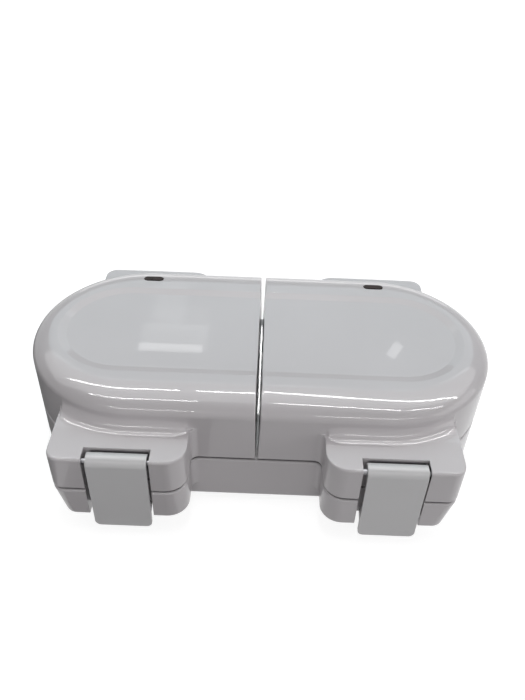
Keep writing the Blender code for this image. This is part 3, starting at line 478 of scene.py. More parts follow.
def full_ring(*args, **kwargs):
    """Both halves of a level's outline."""
    ring = half_ring(*args, **kwargs)
    return ring[1:-1] + [(-x, y, z) for x, y, z in ring[1:-1][::-1]]


def gap_at(z):
    """How far from the middle a lid starts at a height, since the gap widens upwards."""
    share = (z - LID_BOTTOM) / (LID_TOP - LID_BOTTOM)
    return GAP_LOW + (GAP_HIGH - GAP_LOW) * share


def turns(steps):
    """Angles from 0 to a right angle."""
    return [math.radians(90 * i / steps) for i in range(steps + 1)]


def fillet_levels(reach):
    """Heights and weights over a handle: its edge, its flat top and its sweep up the wall."""
    length = reach - HALF_WIDTH
    levels = []
    for a in turns(EDGE_STEPS):
        rise, back = HANDLE_EDGE_R * math.sin(a), HANDLE_EDGE_R * (1 - math.cos(a))
        levels.append((HANDLE_TOP - HANDLE_EDGE_R + rise, 1 - back / length))
    for a in turns(FILLET_STEPS):
        out, rise = HANDLE_FILLET * (1 - math.sin(a)), HANDLE_FILLET * (1 - math.cos(a))
        levels.append((HANDLE_TOP + rise, out / length))
    return levels


def lid_skin():
    rings = []
    low = {"gap": gap_at(LID_BOTTOM), "corner": GAP_CORNER}
    for a in turns(CORNER_STEPS):
        back = SEAM_EDGE * (1 - math.sin(a))
        z = LID_BOTTOM + SEAM_RISE + SEAM_EDGE * (1 - math.cos(a))
        rings.append(half_ring(z, ROUND_X, HALF_WIDTH - back, 1, 1, inset=back, **low))
    for (z, front), (_, back) in zip(fillet_levels(HANDLE_REACH), fillet_levels(BOSS_REACH)):
        side = {"gap": gap_at(z), "corner": GAP_CORNER}
        rings.append(half_ring(z, ROUND_X, HALF_WIDTH, front, back, **side))
    for a in turns(ROLL_STEPS):
        z = LID_TOP - ROLL_HEIGHT + ROLL_HEIGHT * math.sin(a)
        radius = HALF_WIDTH - ROLL_WIDTH * (1 - math.cos(a))
        round_x = ROUND_X + (PLATEAU_ROUND_X - ROUND_X) * (1 - math.cos(a))
        near = max(0.0, 1 - (LID_TOP - z) / GAP_CORNER)
        edge = GAP_CORNER * (1 - math.sqrt(1 - near**2))
        rings.append(half_ring(z, round_x, radius, gap=gap_at(z) + edge, corner=GAP_CORNER))
    return loft("lid", rings)


def lid_hollow():
    """The space inside a lid, over the ledge that its plate sits on."""
    side = {"gap": gap_at(LID_TOP) + WALL, "corner": GAP_CORNER, "inset": WALL}
    radius, top = HALF_WIDTH - WALL, HANDLE_TOP - WALL
    rings = [half_ring(2 * PARTING_Z - DECK_UNDER, ROUND_X, radius, 1, 0, **side)]
    rings.append(half_ring(top, ROUND_X, radius, 1, 0, **side))
    rings.append(half_ring(top + OVERRUN, ROUND_X, radius, 0, 0, **side))
    rise = ROLL_HEIGHT - WALL
    for a in turns(SMALL_STEPS):
        spread = 1 - math.cos(a)
        round_x = ROUND_X + (PLATEAU_ROUND_X - ROUND_X) * spread
        z = ROOF_UNDER - rise + rise * math.sin(a)
        rings.append(half_ring(z, round_x, radius - ROLL_WIDTH * spread, **side))
    return loft("hollow", rings)


def lean_at(z):
    """Where a base handle's outer side is at a height, since it leans inwards downwards."""
    return HANDLE_X1 - BASE_LEAN * (BASE_TOP - z) / (BASE_TOP - HANDLE_BOTTOM)


def base_skin():
    low = lean_at(HANDLE_BOTTOM)
    rings = []
    for a in turns(EDGE_STEPS)[::-1]:
        z = FOOT_HEIGHT + BASE_EDGE_R * (1 - math.sin(a))
        radius = HALF_WIDTH - BASE_EDGE_R * (1 - math.cos(a))
        rings.append(full_ring(z, ROUND_X, radius, outer_x=low))
    rings.append(full_ring(HANDLE_BOTTOM, ROUND_X, HALF_WIDTH, outer_x=low))
    for a in turns(EDGE_STEPS):
        z = HANDLE_BOTTOM + HANDLE_EDGE_R * (1 - math.cos(a))
        back = HANDLE_EDGE_R * (1 - math.sin(a))
        weights = [1 - back / (reach - HALF_WIDTH) for reach in (HANDLE_REACH, BOSS_REACH)]
        rings.append(full_ring(z, ROUND_X, HALF_WIDTH, *weights, outer_x=lean_at(z)))
    for a in turns(EDGE_STEPS):
        z = BASE_TOP - BASE_RIM_R * (1 - math.sin(a))
        back = BASE_RIM_R * (1 - math.cos(a))
        side = {"outer_x": lean_at(z), "inset": back}
        rings.append(full_ring(z, ROUND_X, HALF_WIDTH - back, 1, 1, **side))
    return loft("base", rings)


def base_hollow():
    radius, start = HALF_WIDTH - WALL, HANDLE_BOTTOM + WALL
    side = {"inset": WALL, "outer_x": lean_at(start)}
    rings = [full_ring(FLOOR_TOP, ROUND_X, radius, **side)]
    rings.append(full_ring(start - OVERRUN, ROUND_X, radius, **side))
    rings.append(full_ring(start, ROUND_X, radius, 1, 1, **side))
    side["outer_x"] = lean_at(DECK_UNDER)
    rings.append(full_ring(DECK_UNDER, ROUND_X, radius, 1, 1, **side))
    return loft("hollow", rings)


def plate_plan(inset):
    """Plan of the right plate's room, at a distance inside the shell."""
    radius, x0 = HALF_WIDTH - inset, GAP_LOW + inset
    corner = PLATE_CORNER_R + PLATE_INSET - inset
    outline = arc(x0 + corner, corner - radius, corner, 180, 270, SMALL_STEPS)
    outline += arc(ROUND_X, 0, radius, -90, 90, END_STEPS * 2)
    return outline + arc(x0 + corner, radius - corner, corner, 90, 180, SMALL_STEPS)


def pocket_plan(draft):
    """The front one of the two triangles that one diagonal makes of the pocket."""
    wide, deep = (POCKET_X1 - POCKET_X0) / 2, POCKET_Y
    x, y = wide - draft, deep - draft
    off = (DIVIDER / 2 + draft) * math.hypot(wide, deep)
    corners = [((off - y * wide) / deep, -y), (x, -y), (x, (x * deep - off) / wide)]
    tip = POCKET_TIP_R - draft / 2
    return rounded(corners, (tip, POCKET_CORNER_R - draft, tip))


def guard():
    """The walls round a clip's notch, which the hollows leave standing."""
    low = (NOTCH_X - NOTCH_WIDTH / 2 - WALL, -HANDLE_REACH - OVERRUN, 0)
    return block("guard", low, (NOTCH_X + NOTCH_WIDTH / 2 + WALL, WALL - NOTCH_BACK, LID_TOP))


def notch():
    low = (NOTCH_X - NOTCH_WIDTH / 2, -FRONT_REACH - OVERRUN, 0)
    return block("notch", low, (NOTCH_X + NOTCH_WIDTH / 2, -NOTCH_BACK, LID_TOP))


def seat():
    return prism("seat", plate_plan(PLATE_INSET - TOUCH), LEDGE_Z, BASE_TOP + OVERRUN)


def well():
    plan = plate_plan(PLATE_INSET + PLATE_LEDGE)
    return prism("well", plan, DECK_UNDER - OVERRUN, LEDGE_Z + OVERRUN)


def slope_share(run):
    """How far down the recess its side is at a share of its run: bend, straight, bend."""
    near, bend = min(run, 1 - run), RECESS_BEND_SHARE
    share = near**2 / (2 * bend) if near < bend else near - bend / 2
    share /= 1 - bend
    return share if run <= 0.5 else 1 - share


def recess():
    """A shallow bowl with a sloping side, over the right lid and past the middle."""
    runs = [RECESS_BEND_SHARE * i / BEND_STEPS for i in range(BEND_STEPS + 1)]
    rings = []
    levels = [(LID_TOP + OVERRUN, RECESS_R)]
    for run in [*runs, *(1 - run for run in runs[::-1])]:
        levels.append((LID_TOP - RECESS_DEPTH * slope_share(run), RECESS_R - RECESS_SLOPE * run))
    for z, radius in levels:
        far = arc(RECESS_ROUND_X, 0, radius, -90, 90, END_STEPS * 2)
        rings.append([(x, y, z) for x, y in [(-OVERRUN, -radius), *far, (-OVERRUN, radius)]])
    return loft("recess", rings)


def pill(length, width):
    """A straight slot with round ends."""
    reach = (length - width) / 2
    outline = arc(reach, 0, width / 2, -90, 90, ARC_STEPS)
    return outline + arc(-reach, 0, width / 2, 90, 270, ARC_STEPS)


def clip_strap(side):
    """A strap bent over its pin, with a catch behind and round lower corners."""
    face, rear = -CLIP_BEND_R, CLIP_THICK - CLIP_BEND_R
    low, catch = CLIP_BOTTOM_Z - PIVOT_Z, CATCH_TOP_Z - PIVOT_Z
    nose = rear + CATCH_REACH
    section = [(face, low), (rear, low), (rear, catch - CATCH_HEIGHT)]
    section += [(nose, catch - CATCH_HEIGHT / 2), (nose, catch), (rear, catch)]
    lean = math.degrees(math.acos(-rear / CLIP_BEND_R))
    section += arc(0, 0, CLIP_BEND_R, lean - 180, 180, ROUND_STEPS)
    bm = bmesh.new()
    flat = bm.faces.new([bm.verts.new((-CLIP_WIDTH / 2, y, z)) for y, z in section])
    drawn = bmesh.ops.extrude_face_region(bm, geom=[flat])["geom"]
    moved = [v for v in drawn if isinstance(v, bmesh.types.BMVert)]
    bmesh.ops.translate(bm, verts=moved, vec=(CLIP_WIDTH, 0, 0))
    corners = [e for e in bm.edges if all(abs(v.co.z - low) < TOUCH for v in e.verts)]
    corners = [e for e in corners if abs(e.verts[0].co.x - e.verts[1].co.x) < TOUCH]
    bmesh.ops.bevel(
        bm, geom=corners, offset=CLIP_CORNER_R, segments=ARC_STEPS, profile=0.5, affect="EDGES"
    )
    bmesh.ops.recalc_face_normals(bm, faces=bm.faces)
    bmesh.ops.translate(bm, verts=bm.verts, vec=(side * NOTCH_X + CLIP_SHIFT, PIVOT_Y, PIVOT_Z))
    return mesh_of(bm, "clip")


# ---------------------------------------------------------------- materials


class Look:
    """A material with a Principled shader and short ways to feed it from patterns."""

    def __init__(self, name, edge=0.0, **sockets):
        self.material = bpy.data.materials.new(name)
        self.material.use_nodes = True
        self.tree = self.material.node_tree
        self.shader = self.tree.nodes["Principled BSDF"]
        for socket, value in sockets.items():
            self.shader.inputs[socket.replace("_", " ")].default_value = value
        self.place = self.add("ShaderNodeTexCoord").outputs["Object"]
        self.bend = None
        if edge:
            soft = self.add("ShaderNodeBevel", samples=6)
            soft.inputs["Radius"].default_value = edge
            self.bend = soft.outputs["Normal"]
            self.shade("Normal", self.bend)

    def add(self, kind, **settings):
        node = self.tree.nodes.new(kind)
        for key, value in settings.items():
            setattr(node, key, value)
        return node

    def link(self, out, into):
        self.tree.links.new(out, into)

    def shade(self, socket, out):
        self.link(out, self.shader.inputs[socket])

    def noise(self, scale, detail=3.0, roughness=0.5, stretch=None):
        place = self.place
        if stretch:
            mapping = self.add("ShaderNodeMapping")
            mapping.inputs["Scale"].default_value = stretch
            self.link(place, mapping.inputs["Vector"])
            place = mapping.outputs["Vector"]
        made = self.add("ShaderNodeTexNoise")
        made.inputs["Scale"].default_value = scale
        made.inputs["Detail"].default_value = detail
        made.inputs["Roughness"].default_value = roughness
        self.link(place, made.inputs["Vector"])
        return made.outputs["Fac"]

    def spots(self, scale, reach):
        """1 in the middle of scattered spots, 0 outside them."""
        cells = self.add("ShaderNodeTexVoronoi")
        cells.inputs["Scale"].default_value = scale
        self.link(self.place, cells.inputs["Vector"])
        return self.spread(cells.outputs["Distance"], 0.0, reach, 1.0, 0.0)

    def spread(self, source, low, high, to_low, to_high):
        """A value from low to high, spread over another range."""
        made = self.add("ShaderNodeMapRange")
        ends = {"From Min": low, "From Max": high, "To Min": to_low, "To Max": to_high}
        for socket, value in ends.items():
            made.inputs[socket].default_value = value
        self.link(source, made.inputs["Value"])
        return made.outputs["Result"]

    def tones(self, source, dark, light):
        """A colour between two tones."""
        mix = self.add("ShaderNodeMix", data_type="RGBA")
        self.link(source, mix.inputs[0])
        mix.inputs[6].default_value = (*dark, 1.0)
        mix.inputs[7].default_value = (*light, 1.0)
        return mix.outputs[2]

    def over(self, under, source, tone):
        """Another tone laid over a colour where the source says so."""
        mix = self.add("ShaderNodeMix", data_type="RGBA")
        self.link(source, mix.inputs[0])
        self.link(under, mix.inputs[6])
        mix.inputs[7].default_value = (*tone, 1.0)
        return mix.outputs[2]

    def worn(self):
        """1 on narrow outer and inner edges, 0 on faces."""
        dot = self.add("ShaderNodeVectorMath", operation="DOT_PRODUCT")
        self.link(self.bend, dot.inputs[0])
        self.link(self.add("ShaderNodeNewGeometry").outputs["Normal"], dot.inputs[1])
        return self.spread(dot.outputs["Value"], 0.9, 0.995, 1.0, 0.0)

    def painted_seam_shade(self, reach, low, high):
        """A mask for painted shade: 1 in seams narrower than the reach, 0 on open faces."""
        open_air = self.add("ShaderNodeAmbientOcclusion", samples=8)
        open_air.inputs["Distance"].default_value = reach
        return self.spread(open_air.outputs["AO"], low, high, 1.0, 0.0)

    def bump(self, source, depth, strength):
        made = self.add("ShaderNodeBump")
        made.inputs["Strength"].default_value = strength
        made.inputs["Distance"].default_value = depth
        self.link(source, made.inputs["Height"])
        if self.bend:
            self.link(self.bend, made.inputs["Normal"])
        self.bend = made.outputs["Normal"]
        self.shade("Normal", self.bend)


def housing_look():
    look = Look("pale_grey_gloss", edge=0.0008, Coat_Roughness=0.015, IOR=1.45)
    worn = look.worn()
    cloud = look.spread(look.noise(9.0, 2.0), 0.35, 0.65, 0.0, 1.0)
    colour = look.tones(cloud, (0.478, 0.455, 0.468), (0.502, 0.478, 0.492))
    dust = look.spread(look.noise(1400.0, 4.0, 0.7), 0.66, 0.72, 0.0, 0.35)
    colour = look.over(colour, dust, (0.56, 0.55, 0.55))
    worn = look.spread(worn, 0.0, 1.0, 0.0, 0.30)
    colour = look.over(colour, worn, (0.60, 0.585, 0.60))
    # Painted shade: the colour goes near black in seams, where shade falls, and the gloss fades
    # with it, or they would shine.
    shade = look.painted_seam_shade(0.0045, 0.18, 0.50)
    look.shade("Base Color", look.over(colour, shade, (0.016, 0.015, 0.017)))
    look.shade("Coat Weight", look.spread(shade, 0.0, 1.0, 0.5, 0.32))
    look.shade("Specular IOR Level", look.spread(shade, 0.0, 1.0, 0.22, 0.02))
    smear = look.noise(26.0, 5.0, 0.62, stretch=(1.0, 0.45, 1.0))
    look.shade("Roughness", look.spread(smear, 0.30, 0.70, 0.28, 0.38))
    look.bump(look.noise(240.0, 2.0, 0.4), 0.000004, 0.5)
    return look.material


def clip_look():
    finish = {"Coat_Weight": 0.1, "Coat_Roughness": 0.2, "IOR": 1.45, "Specular_IOR_Level": 0.4}
    look = Look("satin_grey", edge=0.0006, **finish)
    worn = look.worn()
    cloud = look.noise(14.0, 3.0)
    colour = look.tones(cloud, (0.560, 0.553, 0.560), (0.590, 0.583, 0.591))
    worn = look.spread(worn, 0.0, 1.0, 0.0, 0.35)
    colour = look.over(colour, worn, (0.62, 0.61, 0.62))
    # Painted shade: the colour goes near black in seams narrower than the reach, beside the notch
    # walls and pin.
    shade = look.painted_seam_shade(0.004, 0.05, 0.30)
    look.shade("Base Color", look.over(colour, shade, (0.02, 0.02, 0.02)))
    look.shade("Roughness", look.spread(look.noise(40.0, 4.0, 0.6), 0.3, 0.7, 0.30, 0.42))
    look.bump(look.noise(1900.0, 3.0, 0.6), 0.00004, 0.55)
    return look.material


def coated_look():
    look = Look("non_stick_coating", edge=0.0007, Specular_IOR_Level=0.45)
    worn = look.worn()
    grain = look.noise(900.0, 4.0, 0.65)
    colour = look.tones(grain, (0.017, 0.017, 0.018), (0.034, 0.034, 0.036))
    colour = look.over(colour, look.spots(1500.0, 0.16), (0.20, 0.20, 0.21))
    worn = look.spread(worn, 0.0, 1.0, 0.0, 0.25)
    look.shade("Base Color", look.over(colour, worn, (0.10, 0.10, 0.10)))
    look.shade("Roughness", look.spread(look.noise(30.0, 4.0), 0.3, 0.7, 0.30, 0.46))
    look.bump(look.noise(1300.0, 3.0, 0.6), 0.00008, 0.6)
    return look.material


def steel_look(name, dark, light, rough, stretch):
    look = Look(name, edge=0.0003, Metallic=1.0)
    streaks = look.noise(60.0, 5.0, 0.6, stretch=stretch)
    look.shade("Base Color", look.tones(streaks, dark, light))
    look.shade("Roughness", look.spread(streaks, 0.3, 0.7, *rough))
    look.bump(streaks, 0.00003, 0.4)
    return look.material


def moulded_look(name, dark, light, rough):
    look = Look(name, edge=0.0004, IOR=1.48)
    worn = look.worn()
    cloud = look.noise(35.0, 4.0, 0.6)
    colour = look.tones(cloud, dark, light)
    lifted = tuple(min(1.0, c * 1.5 + 0.02) for c in light)
    look.shade("Base Color", look.over(colour, look.spread(worn, 0.0, 1.0, 0.0, 0.3), lifted))
    look.shade("Roughness", look.spread(cloud, 0.3, 0.7, *rough))
    look.bump(look.noise(1600.0, 3.0, 0.6), 0.00006, 0.6)
    return look.material


def lens_look():
    look = Look("dark_lens", edge=0.0004, Specular_IOR_Level=0.06, IOR=1.49)
    waves = look.add("ShaderNodeTexWave", wave_type="BANDS", bands_direction="X")
    waves.inputs["Scale"].default_value = 260.0
    waves.inputs["Distortion"].default_value = 0.3
    look.link(look.place, waves.inputs["Vector"])
    cloud = look.noise(180.0, 3.0)
    look.shade("Base Color", look.tones(cloud, (0.006, 0.004, 0.004), (0.020, 0.008, 0.006)))
    look.shade("Roughness", look.spread(cloud, 0.3, 0.7, 0.25, 0.40))
    look.bump(waves.outputs["Fac"], 0.00004, 0.3)
    return look.material


def lamp_look():
    look = Look("lamp_glass", edge=0.0003, Transmission_Weight=0.85, IOR=1.46)
    film = look.noise(400.0, 3.0)
    look.shade("Base Color", look.tones(film, (0.72, 0.40, 0.26), (0.86, 0.62, 0.50)))
    look.shade("Roughness", look.spread(film, 0.3, 0.7, 0.03, 0.14))
    look.bump(film, 0.00002, 0.3)
    return look.material


HOUSING = housing_look()
CLIP = clip_look()
COATED = coated_look()
SHEET = steel_look("rolled_sheet", (0.50, 0.50, 0.51), (0.70, 0.70, 0.70), (0.24, 0.42), (1, 14, 1))
HEATER = steel_look("heater_sheath", (0.17, 0.14, 0.12), (0.36, 0.33, 0.31), (0.38, 0.6), (1, 1, 1))
PLATED = steel_look("plated_steel", (0.56, 0.56, 0.57), (0.72, 0.72, 0.74), (0.12, 0.3), (6, 1, 1))
DULL = steel_look("dull_steel", (0.24, 0.24, 0.25), (0.36, 0.36, 0.37), (0.45, 0.6), (6, 1, 1))
RUBBER = moulded_look("black_rubber", (0.022, 0.022, 0.023), (0.042, 0.041, 0.042), (0.6, 0.85))
GLAND = moulded_look("grey_bush", (0.235, 0.228, 0.235), (0.300, 0.290, 0.298), (0.45, 0.65))
BAKELITE = moulded_look("dark_moulding", (0.030, 0.026, 0.022), (0.062, 0.054, 0.046), (0.35, 0.55))
CREAM = moulded_look("terminal_plastic", (0.64, 0.63, 0.59), (0.76, 0.75, 0.72), (0.35, 0.5))
LENS = lens_look()
LAMP = lamp_look()

# ---------------------------------------------------------------- pieces


def along_hinge(x0, x1, radius):
    return rod("rod", radius, (x0, HINGE_Y, HINGE_Z), (x1, HINGE_Y, HINGE_Z))


def latch_ends(side, beyond=0.0):
    """The ends of a clip's pin, or points beyond them."""
    reach = NOTCH_WIDTH / 2 + WALL + beyond
    return [(side * NOTCH_X + x, PIVOT_Y, PIVOT_Z) for x in (-reach, reach)]


def window_place():
    """Where the right window sits, tilted with the back roll."""
    y = HALF_WIDTH - WINDOW_FROM_BACK
    drop = ROLL_HEIGHT * (1 - math.sqrt(1 - ((y - PLATEAU_R) / ROLL_WIDTH) ** 2))
    centre = Vector((ROUND_X + WINDOW_BEYOND, y, LID_TOP + WINDOW_PROUD - drop))
    return Matrix.Translation(centre) @ Matrix.Rotation(-math.radians(WINDOW_TILT_DEG), 4, "X")


def base_steps():
    """What the base's skin loses and gains."""
    steps = []
    for side in (1, -1):
        cut = cutter(steps, side)
        cut(notch())
        low = (NOTCH_X - KEEPER_WIDTH / 2, KEEPER_FRONT, KEEPER_LOW)
        high = (NOTCH_X + KEEPER_WIDTH / 2, WALL / 2 - NOTCH_BACK, KEEPER_LOW + KEEPER_HEIGHT)
        cut(block("keeper", low, high), "UNION")
        cut(seat())
        cut(well())
        cut(along_hinge(KNUCKLE_X0, KNUCKLE_X1, KNUCKLE_R), "UNION")
        cut(along_hinge(KNUCKLE_X2, KNUCKLE_X3, KNUCKLE_R), "UNION")
        cut(along_hinge(KNUCKLE_X1, KNUCKLE_X2, KNUCKLE_R + KNUCKLE_PLAY))
        cut(along_hinge(KNUCKLE_X0 - OVERRUN, KNUCKLE_X3 + OVERRUN, HINGE_PIN_R + PIN_PLAY))
        for x in POST_XS:
            cut(rod("post", POST_R, (x, 0, FLOOR_TOP - WALL / 2), (x, 0, TRAY_Z - TOUCH)), "UNION")
            cut(rod("shaft", SCREW_R + PIN_PLAY, (x, 0, 0), (x, 0, TRAY_Z)))
            head = FOOT_HEIGHT + SCREW_HEAD + TOUCH
            cut(rod("sink", SCREW_HEAD_R + PIN_PLAY, (x, 0, 0), (x, 0, head)))
        for y in (FOOT_FROM_SIDE - HALF_WIDTH, HALF_WIDTH - FOOT_FROM_SIDE):
            x = ROUND_X + FOOT_BEYOND
            cut(rod("hole", FOOT_STEM_R + PIN_PLAY, (x, y, 0), (x, y, FLOOR_TOP + OVERRUN)))
    ends = [(0, y, GLAND_Z) for y in (HALF_WIDTH - WALL - OVERRUN, HALF_WIDTH + OVERRUN)]
    steps.append((rod("hole", GLAND_NECK_R + TOUCH, *ends), "DIFFERENCE"))
    return steps


def lid_steps(side):
    """What a lid's skin loses and gains."""
    steps = []
    cut = cutter(steps, side)
    cut(carve(lid_hollow(), [(guard(), "DIFFERENCE")]))
    cut(notch())
    cut(seat(), over=True)
    cut(well(), over=True)
    cut(recess())
    slot_z = HINGE_Z + LID_SLOT_RISE
    low = (HANDLE_X0 - OVERRUN, HINGE_Y - WEB_FRONT, 0)
    cut(block("slot", low, (HANDLE_X1 + OVERRUN, BOSS_REACH + OVERRUN, slot_z)))
    low_x, high_x = KNUCKLE_X1 + KNUCKLE_PLAY, KNUCKLE_X2 - KNUCKLE_PLAY
    low = (low_x + WEB_INSET, HINGE_Y - WEB_FRONT - WALL, LID_BOTTOM + SEAM_EDGE)
    cut(block("web", low, (high_x - WEB_INSET, HINGE_Y, slot_z + WALL)), "UNION")
    cut(along_hinge(low_x, high_x, KNUCKLE_R), "UNION")
    cut(along_hinge(KNUCKLE_X0, KNUCKLE_X3, HINGE_PIN_R + PIN_PLAY))
    for x in POST_XS:
        cut(rod("post", POST_R, (x, 0, TRAY_TOP + TOUCH), (x, 0, ROOF_UNDER + WALL / 2)), "UNION")
    room = pill(WINDOW_LENGTH + 2 * TOUCH, WINDOW_WIDTH + 2 * TOUCH)
    cut(prism("hole", room, -WINDOW_THICK - WALL * 2, WALL, window_place()))
    cut(rod("hole", LATCH_PIN_R + PIN_PLAY, *latch_ends(1, OVERRUN)))
    return steps


def ribbed_bush():
    """The cord outlet: a flange on each side of the wall, and a ribbed boot outside."""
    inside, outside = -WALL - TOUCH, TOUCH
    face, tip = outside + GLAND_FLANGE, outside + GLAND_FLANGE + GLAND_BOOT
    profile = [(GLAND_BORE_R, tip)]
    steps = GLAND_RIBS * GLAND_RIB_STEPS
    for i in range(steps + 1):
        share = i / steps
        wave = (1 - math.cos(2 * math.pi * GLAND_RIBS * share)) / 2 if 0 < share < 1 else 0.0
        radius = GLAND_BOOT_R1 + (GLAND_BOOT_R0 - GLAND_BOOT_R1) * share - GLAND_RIB_DEPTH * wave
        profile.append((radius, tip - GLAND_BOOT * share))
    profile += [(GLAND_FLANGE_R - GLAND_EDGE, face), (GLAND_FLANGE_R, face - GLAND_EDGE)]
    profile += [(GLAND_FLANGE_R, outside), (GLAND_NECK_R, outside), (GLAND_NECK_R, inside)]
    profile += [(GLAND_FLANGE_R, inside), (GLAND_FLANGE_R, inside - GLAND_FLANGE)]
    profile += [(GLAND_BORE_R, inside - GLAND_FLANGE)]
    return lathe("bush", profile, (0, HALF_WIDTH, GLAND_Z), (0, HALF_WIDTH + GLAND_BOOT, GLAND_Z))


def plate(side, over):
    """A plate with two triangular pockets."""
    steps = []
    cut = cutter(steps, side)
    x0, x1, y = POCKET_X0 - POCKET_WALL, POCKET_X1 + POCKET_WALL, POCKET_Y + POCKET_WALL
    plan = rounded([(x0, -y), (x1, -y), (x1, y), (x0, y)], [POCKET_CORNER_R + POCKET_WALL] * 4)
    cut(prism("pan", plan, BLOCK_Z, PLATE_FACE - PLATE_RIM / 2), "UNION", over)
    mouth, bottom = pocket_plan(0), pocket_plan(POCKET_DRAFT)
    levels = [(bottom, BLOCK_Z + POCKET_FLOOR), (mouth, PLATE_FACE), (mouth, PLATE_FACE + OVERRUN)]
    for way in (1, -1):
        rings = [[(POCKET_X + way * x, way * y, z) for x, y in level] for level, z in levels]
        cut(loft("pocket", rings), over=over)
    rim = prism("plate", plate_plan(PLATE_INSET), PLATE_FACE - PLATE_RIM, PLATE_FACE)
    return carve(placed(rim, side, over), steps)


def foot(x, y):
    top = FOOT_HEIGHT - TOUCH
    profile = FOOT_PAD + [(FOOT_R - FOOT_EDGE, 0), (FOOT_R, FOOT_EDGE)]
    profile += [(FOOT_TOP_R, top - FOOT_TOP_EDGE), (FOOT_TOP_R - FOOT_TOP_EDGE, top), (0, top)]
    return lathe("foot", profile, (x, y, 0), (x, y, FOOT_HEIGHT))


def turned_screw(x, under, low, high):
    """A screw with a cross in its head, up into a post between two heights."""
    z, tip = under - SCREW_HEAD, low + (high - low) * SCREW_SHARE
    profile = [(0, z), (SCREW_FLAT_R, z), (SCREW_CROWN_R, z + SCREW_CROWN)]
    profile += [(SCREW_HEAD_R, z + SCREW_CROWN_LOW), (SCREW_HEAD_R, under), (SCREW_R, under)]
    profile += [(SCREW_R, tip - SCREW_TIP), (SCREW_R / 2, tip), (0, tip)]
    screw = lathe("screw", [(r, h - z) for r, h in profile], (x, 0, z), (x, 0, tip))
    arms = []
    for long, wide in ((CROSS_LONG, CROSS_THIN), (CROSS_THIN, CROSS_LONG)):
        arm = block("arm", (x - long, -wide, z - OVERRUN), (x + long, wide, z + CROSS_DEPTH))
        arms.append((arm, "DIFFERENCE"))
    return carve(screw, arms)


hollow = carve(base_hollow(), [(placed(guard(), side), "DIFFERENCE") for side in (1, -1)])
base = carve(base_skin(), [(hollow, "DIFFERENCE"), *base_steps()])
piece("base_housing", base, "base", HOUSING, "base_shell")
piece("cord_bush", ribbed_bush(), "base", GLAND, "cord_gland")

for side, word in ((1, "right"), (-1, "left")):
    lid, latch = f"{word}_lid", f"{word}_latch"
    shell = carve(placed(lid_skin(), side), lid_steps(side))
    piece(f"{word}_lid_housing", shell, lid, HOUSING, f"{word}_lid_shell")

    lens = prism("lens", pill(WINDOW_LENGTH, WINDOW_WIDTH), -WINDOW_THICK, 0, window_place())
    node = f"{word}_indicator_window"
    piece(f"{word}_lens", placed(lens, side), lid, LENS, node, LENS_BEVEL)
    pin = rod("pin", LATCH_PIN_R, *latch_ends(side), edge=PIN_EDGE_R)
    piece(f"{word}_clip_pin", pin, lid, DULL, f"{word}_latch_pin")
    ends = [(side * x, HINGE_Y, HINGE_Z) for x in (KNUCKLE_X0, KNUCKLE_X3)]
    pin = rod("pin", HINGE_PIN_R, *ends, edge=PIN_EDGE_R)
    piece(f"{word}_hinge_rod", pin, "base", PLATED, f"{word}_hinge_pin")

    hole = rod("hole", LATCH_PIN_R + PIN_PLAY, *latch_ends(side))
    strap = carve(clip_strap(side), [(hole, "DIFFERENCE")])
    piece(f"{word}_clip", strap, latch, CLIP, f"{word}_latch_clip", CLIP_BEVEL)

    for over, body, level in ((False, "base", "lower"), (True, lid, "upper")):
        node = f"{word}_{level}_plate"
        piece(f"{node}_coated", plate(side, over), body, COATED, node)

    for y, place in ((FOOT_FROM_SIDE - HALF_WIDTH, "front"), (HALF_WIDTH - FOOT_FROM_SIDE, "rear")):
        pad = foot(side * (ROUND_X + FOOT_BEYOND), y)
        piece(f"{word}_{place}_pad", pad, "base", RUBBER, f"{word}_{place}_foot")

    base_screw = ("base", "base", FOOT_HEIGHT + SCREW_HEAD, FLOOR_TOP, TRAY_Z - TOUCH)
    lid_screw = ("lid", lid, TRAY_TOP - TRAY_SHEET - TOUCH, TRAY_TOP + TOUCH, ROOF_UNDER)
    for kind, body, under, low, high in (base_screw, lid_screw):
        for number, x in enumerate(POST_XS, 1):
            screw = turned_screw(side * x, under, low, high)
            node = f"{word}_{kind}_screw_{number}"
            piece(f"{node}_turned", screw, body, PLATED, node)

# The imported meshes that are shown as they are, by the end of their name.
PACKED_LOOKS = {
    "element": HEATER,
    "tray": SHEET,
    "thermostat": BAKELITE,
    "terminal_block": CREAM,
    "thermal_fuse": PLATED,
    "lamp": LAMP,
}
for name, node in nodes.items():
    if node.hide_render:
        continue
    for ending, material in PACKED_LOOKS.items():
        if name.endswith(ending):
            node.data.materials.clear()
            node.data.materials.append(material)

# ---------------------------------------------------------------- floor, light and camera

WHITE = (1.0, 1.0, 1.0, 1.0)
LAMP_LEVEL = 2.0
LOOK_AT = (0.0, 0.0, 0.06)
TUBE_AIM = Vector((0, 0, 0.05))
FLAG_LEVEL = 0.0005


def seen(tree):
    """1 for what the camera sees straight, in a reflection or through glass."""
    path = tree.nodes.new("ShaderNodeLightPath")
    out = path.outputs["Is Camera Ray"]
    for other in ("Is Glossy Ray", "Is Transmission Ray"):
        both = tree.nodes.new("ShaderNodeMath")
        both.operation = "MAXIMUM"
        tree.links.new(out, both.inputs[0])
        tree.links.new(path.outputs[other], both.inputs[1])
        out = both.outputs[0]
    return out


def by_sight(tree, lighting, shown, target):
    """Feeds a surface one shader where it is seen, and another where it only gives light."""
    mix = tree.nodes.new("ShaderNodeMixShader")
    tree.links.new(seen(tree), mix.inputs[0])
    tree.links.new(lighting, mix.inputs[1])
    tree.links.new(shown, mix.inputs[2])
    tree.links.new(mix.outputs[0], target)


def glow(node, strength):
    """White light from a background or emission shader."""
    node.inputs["Color"].default_value = WHITE
    node.inputs["Strength"].default_value = strength
    return node.outputs[0]


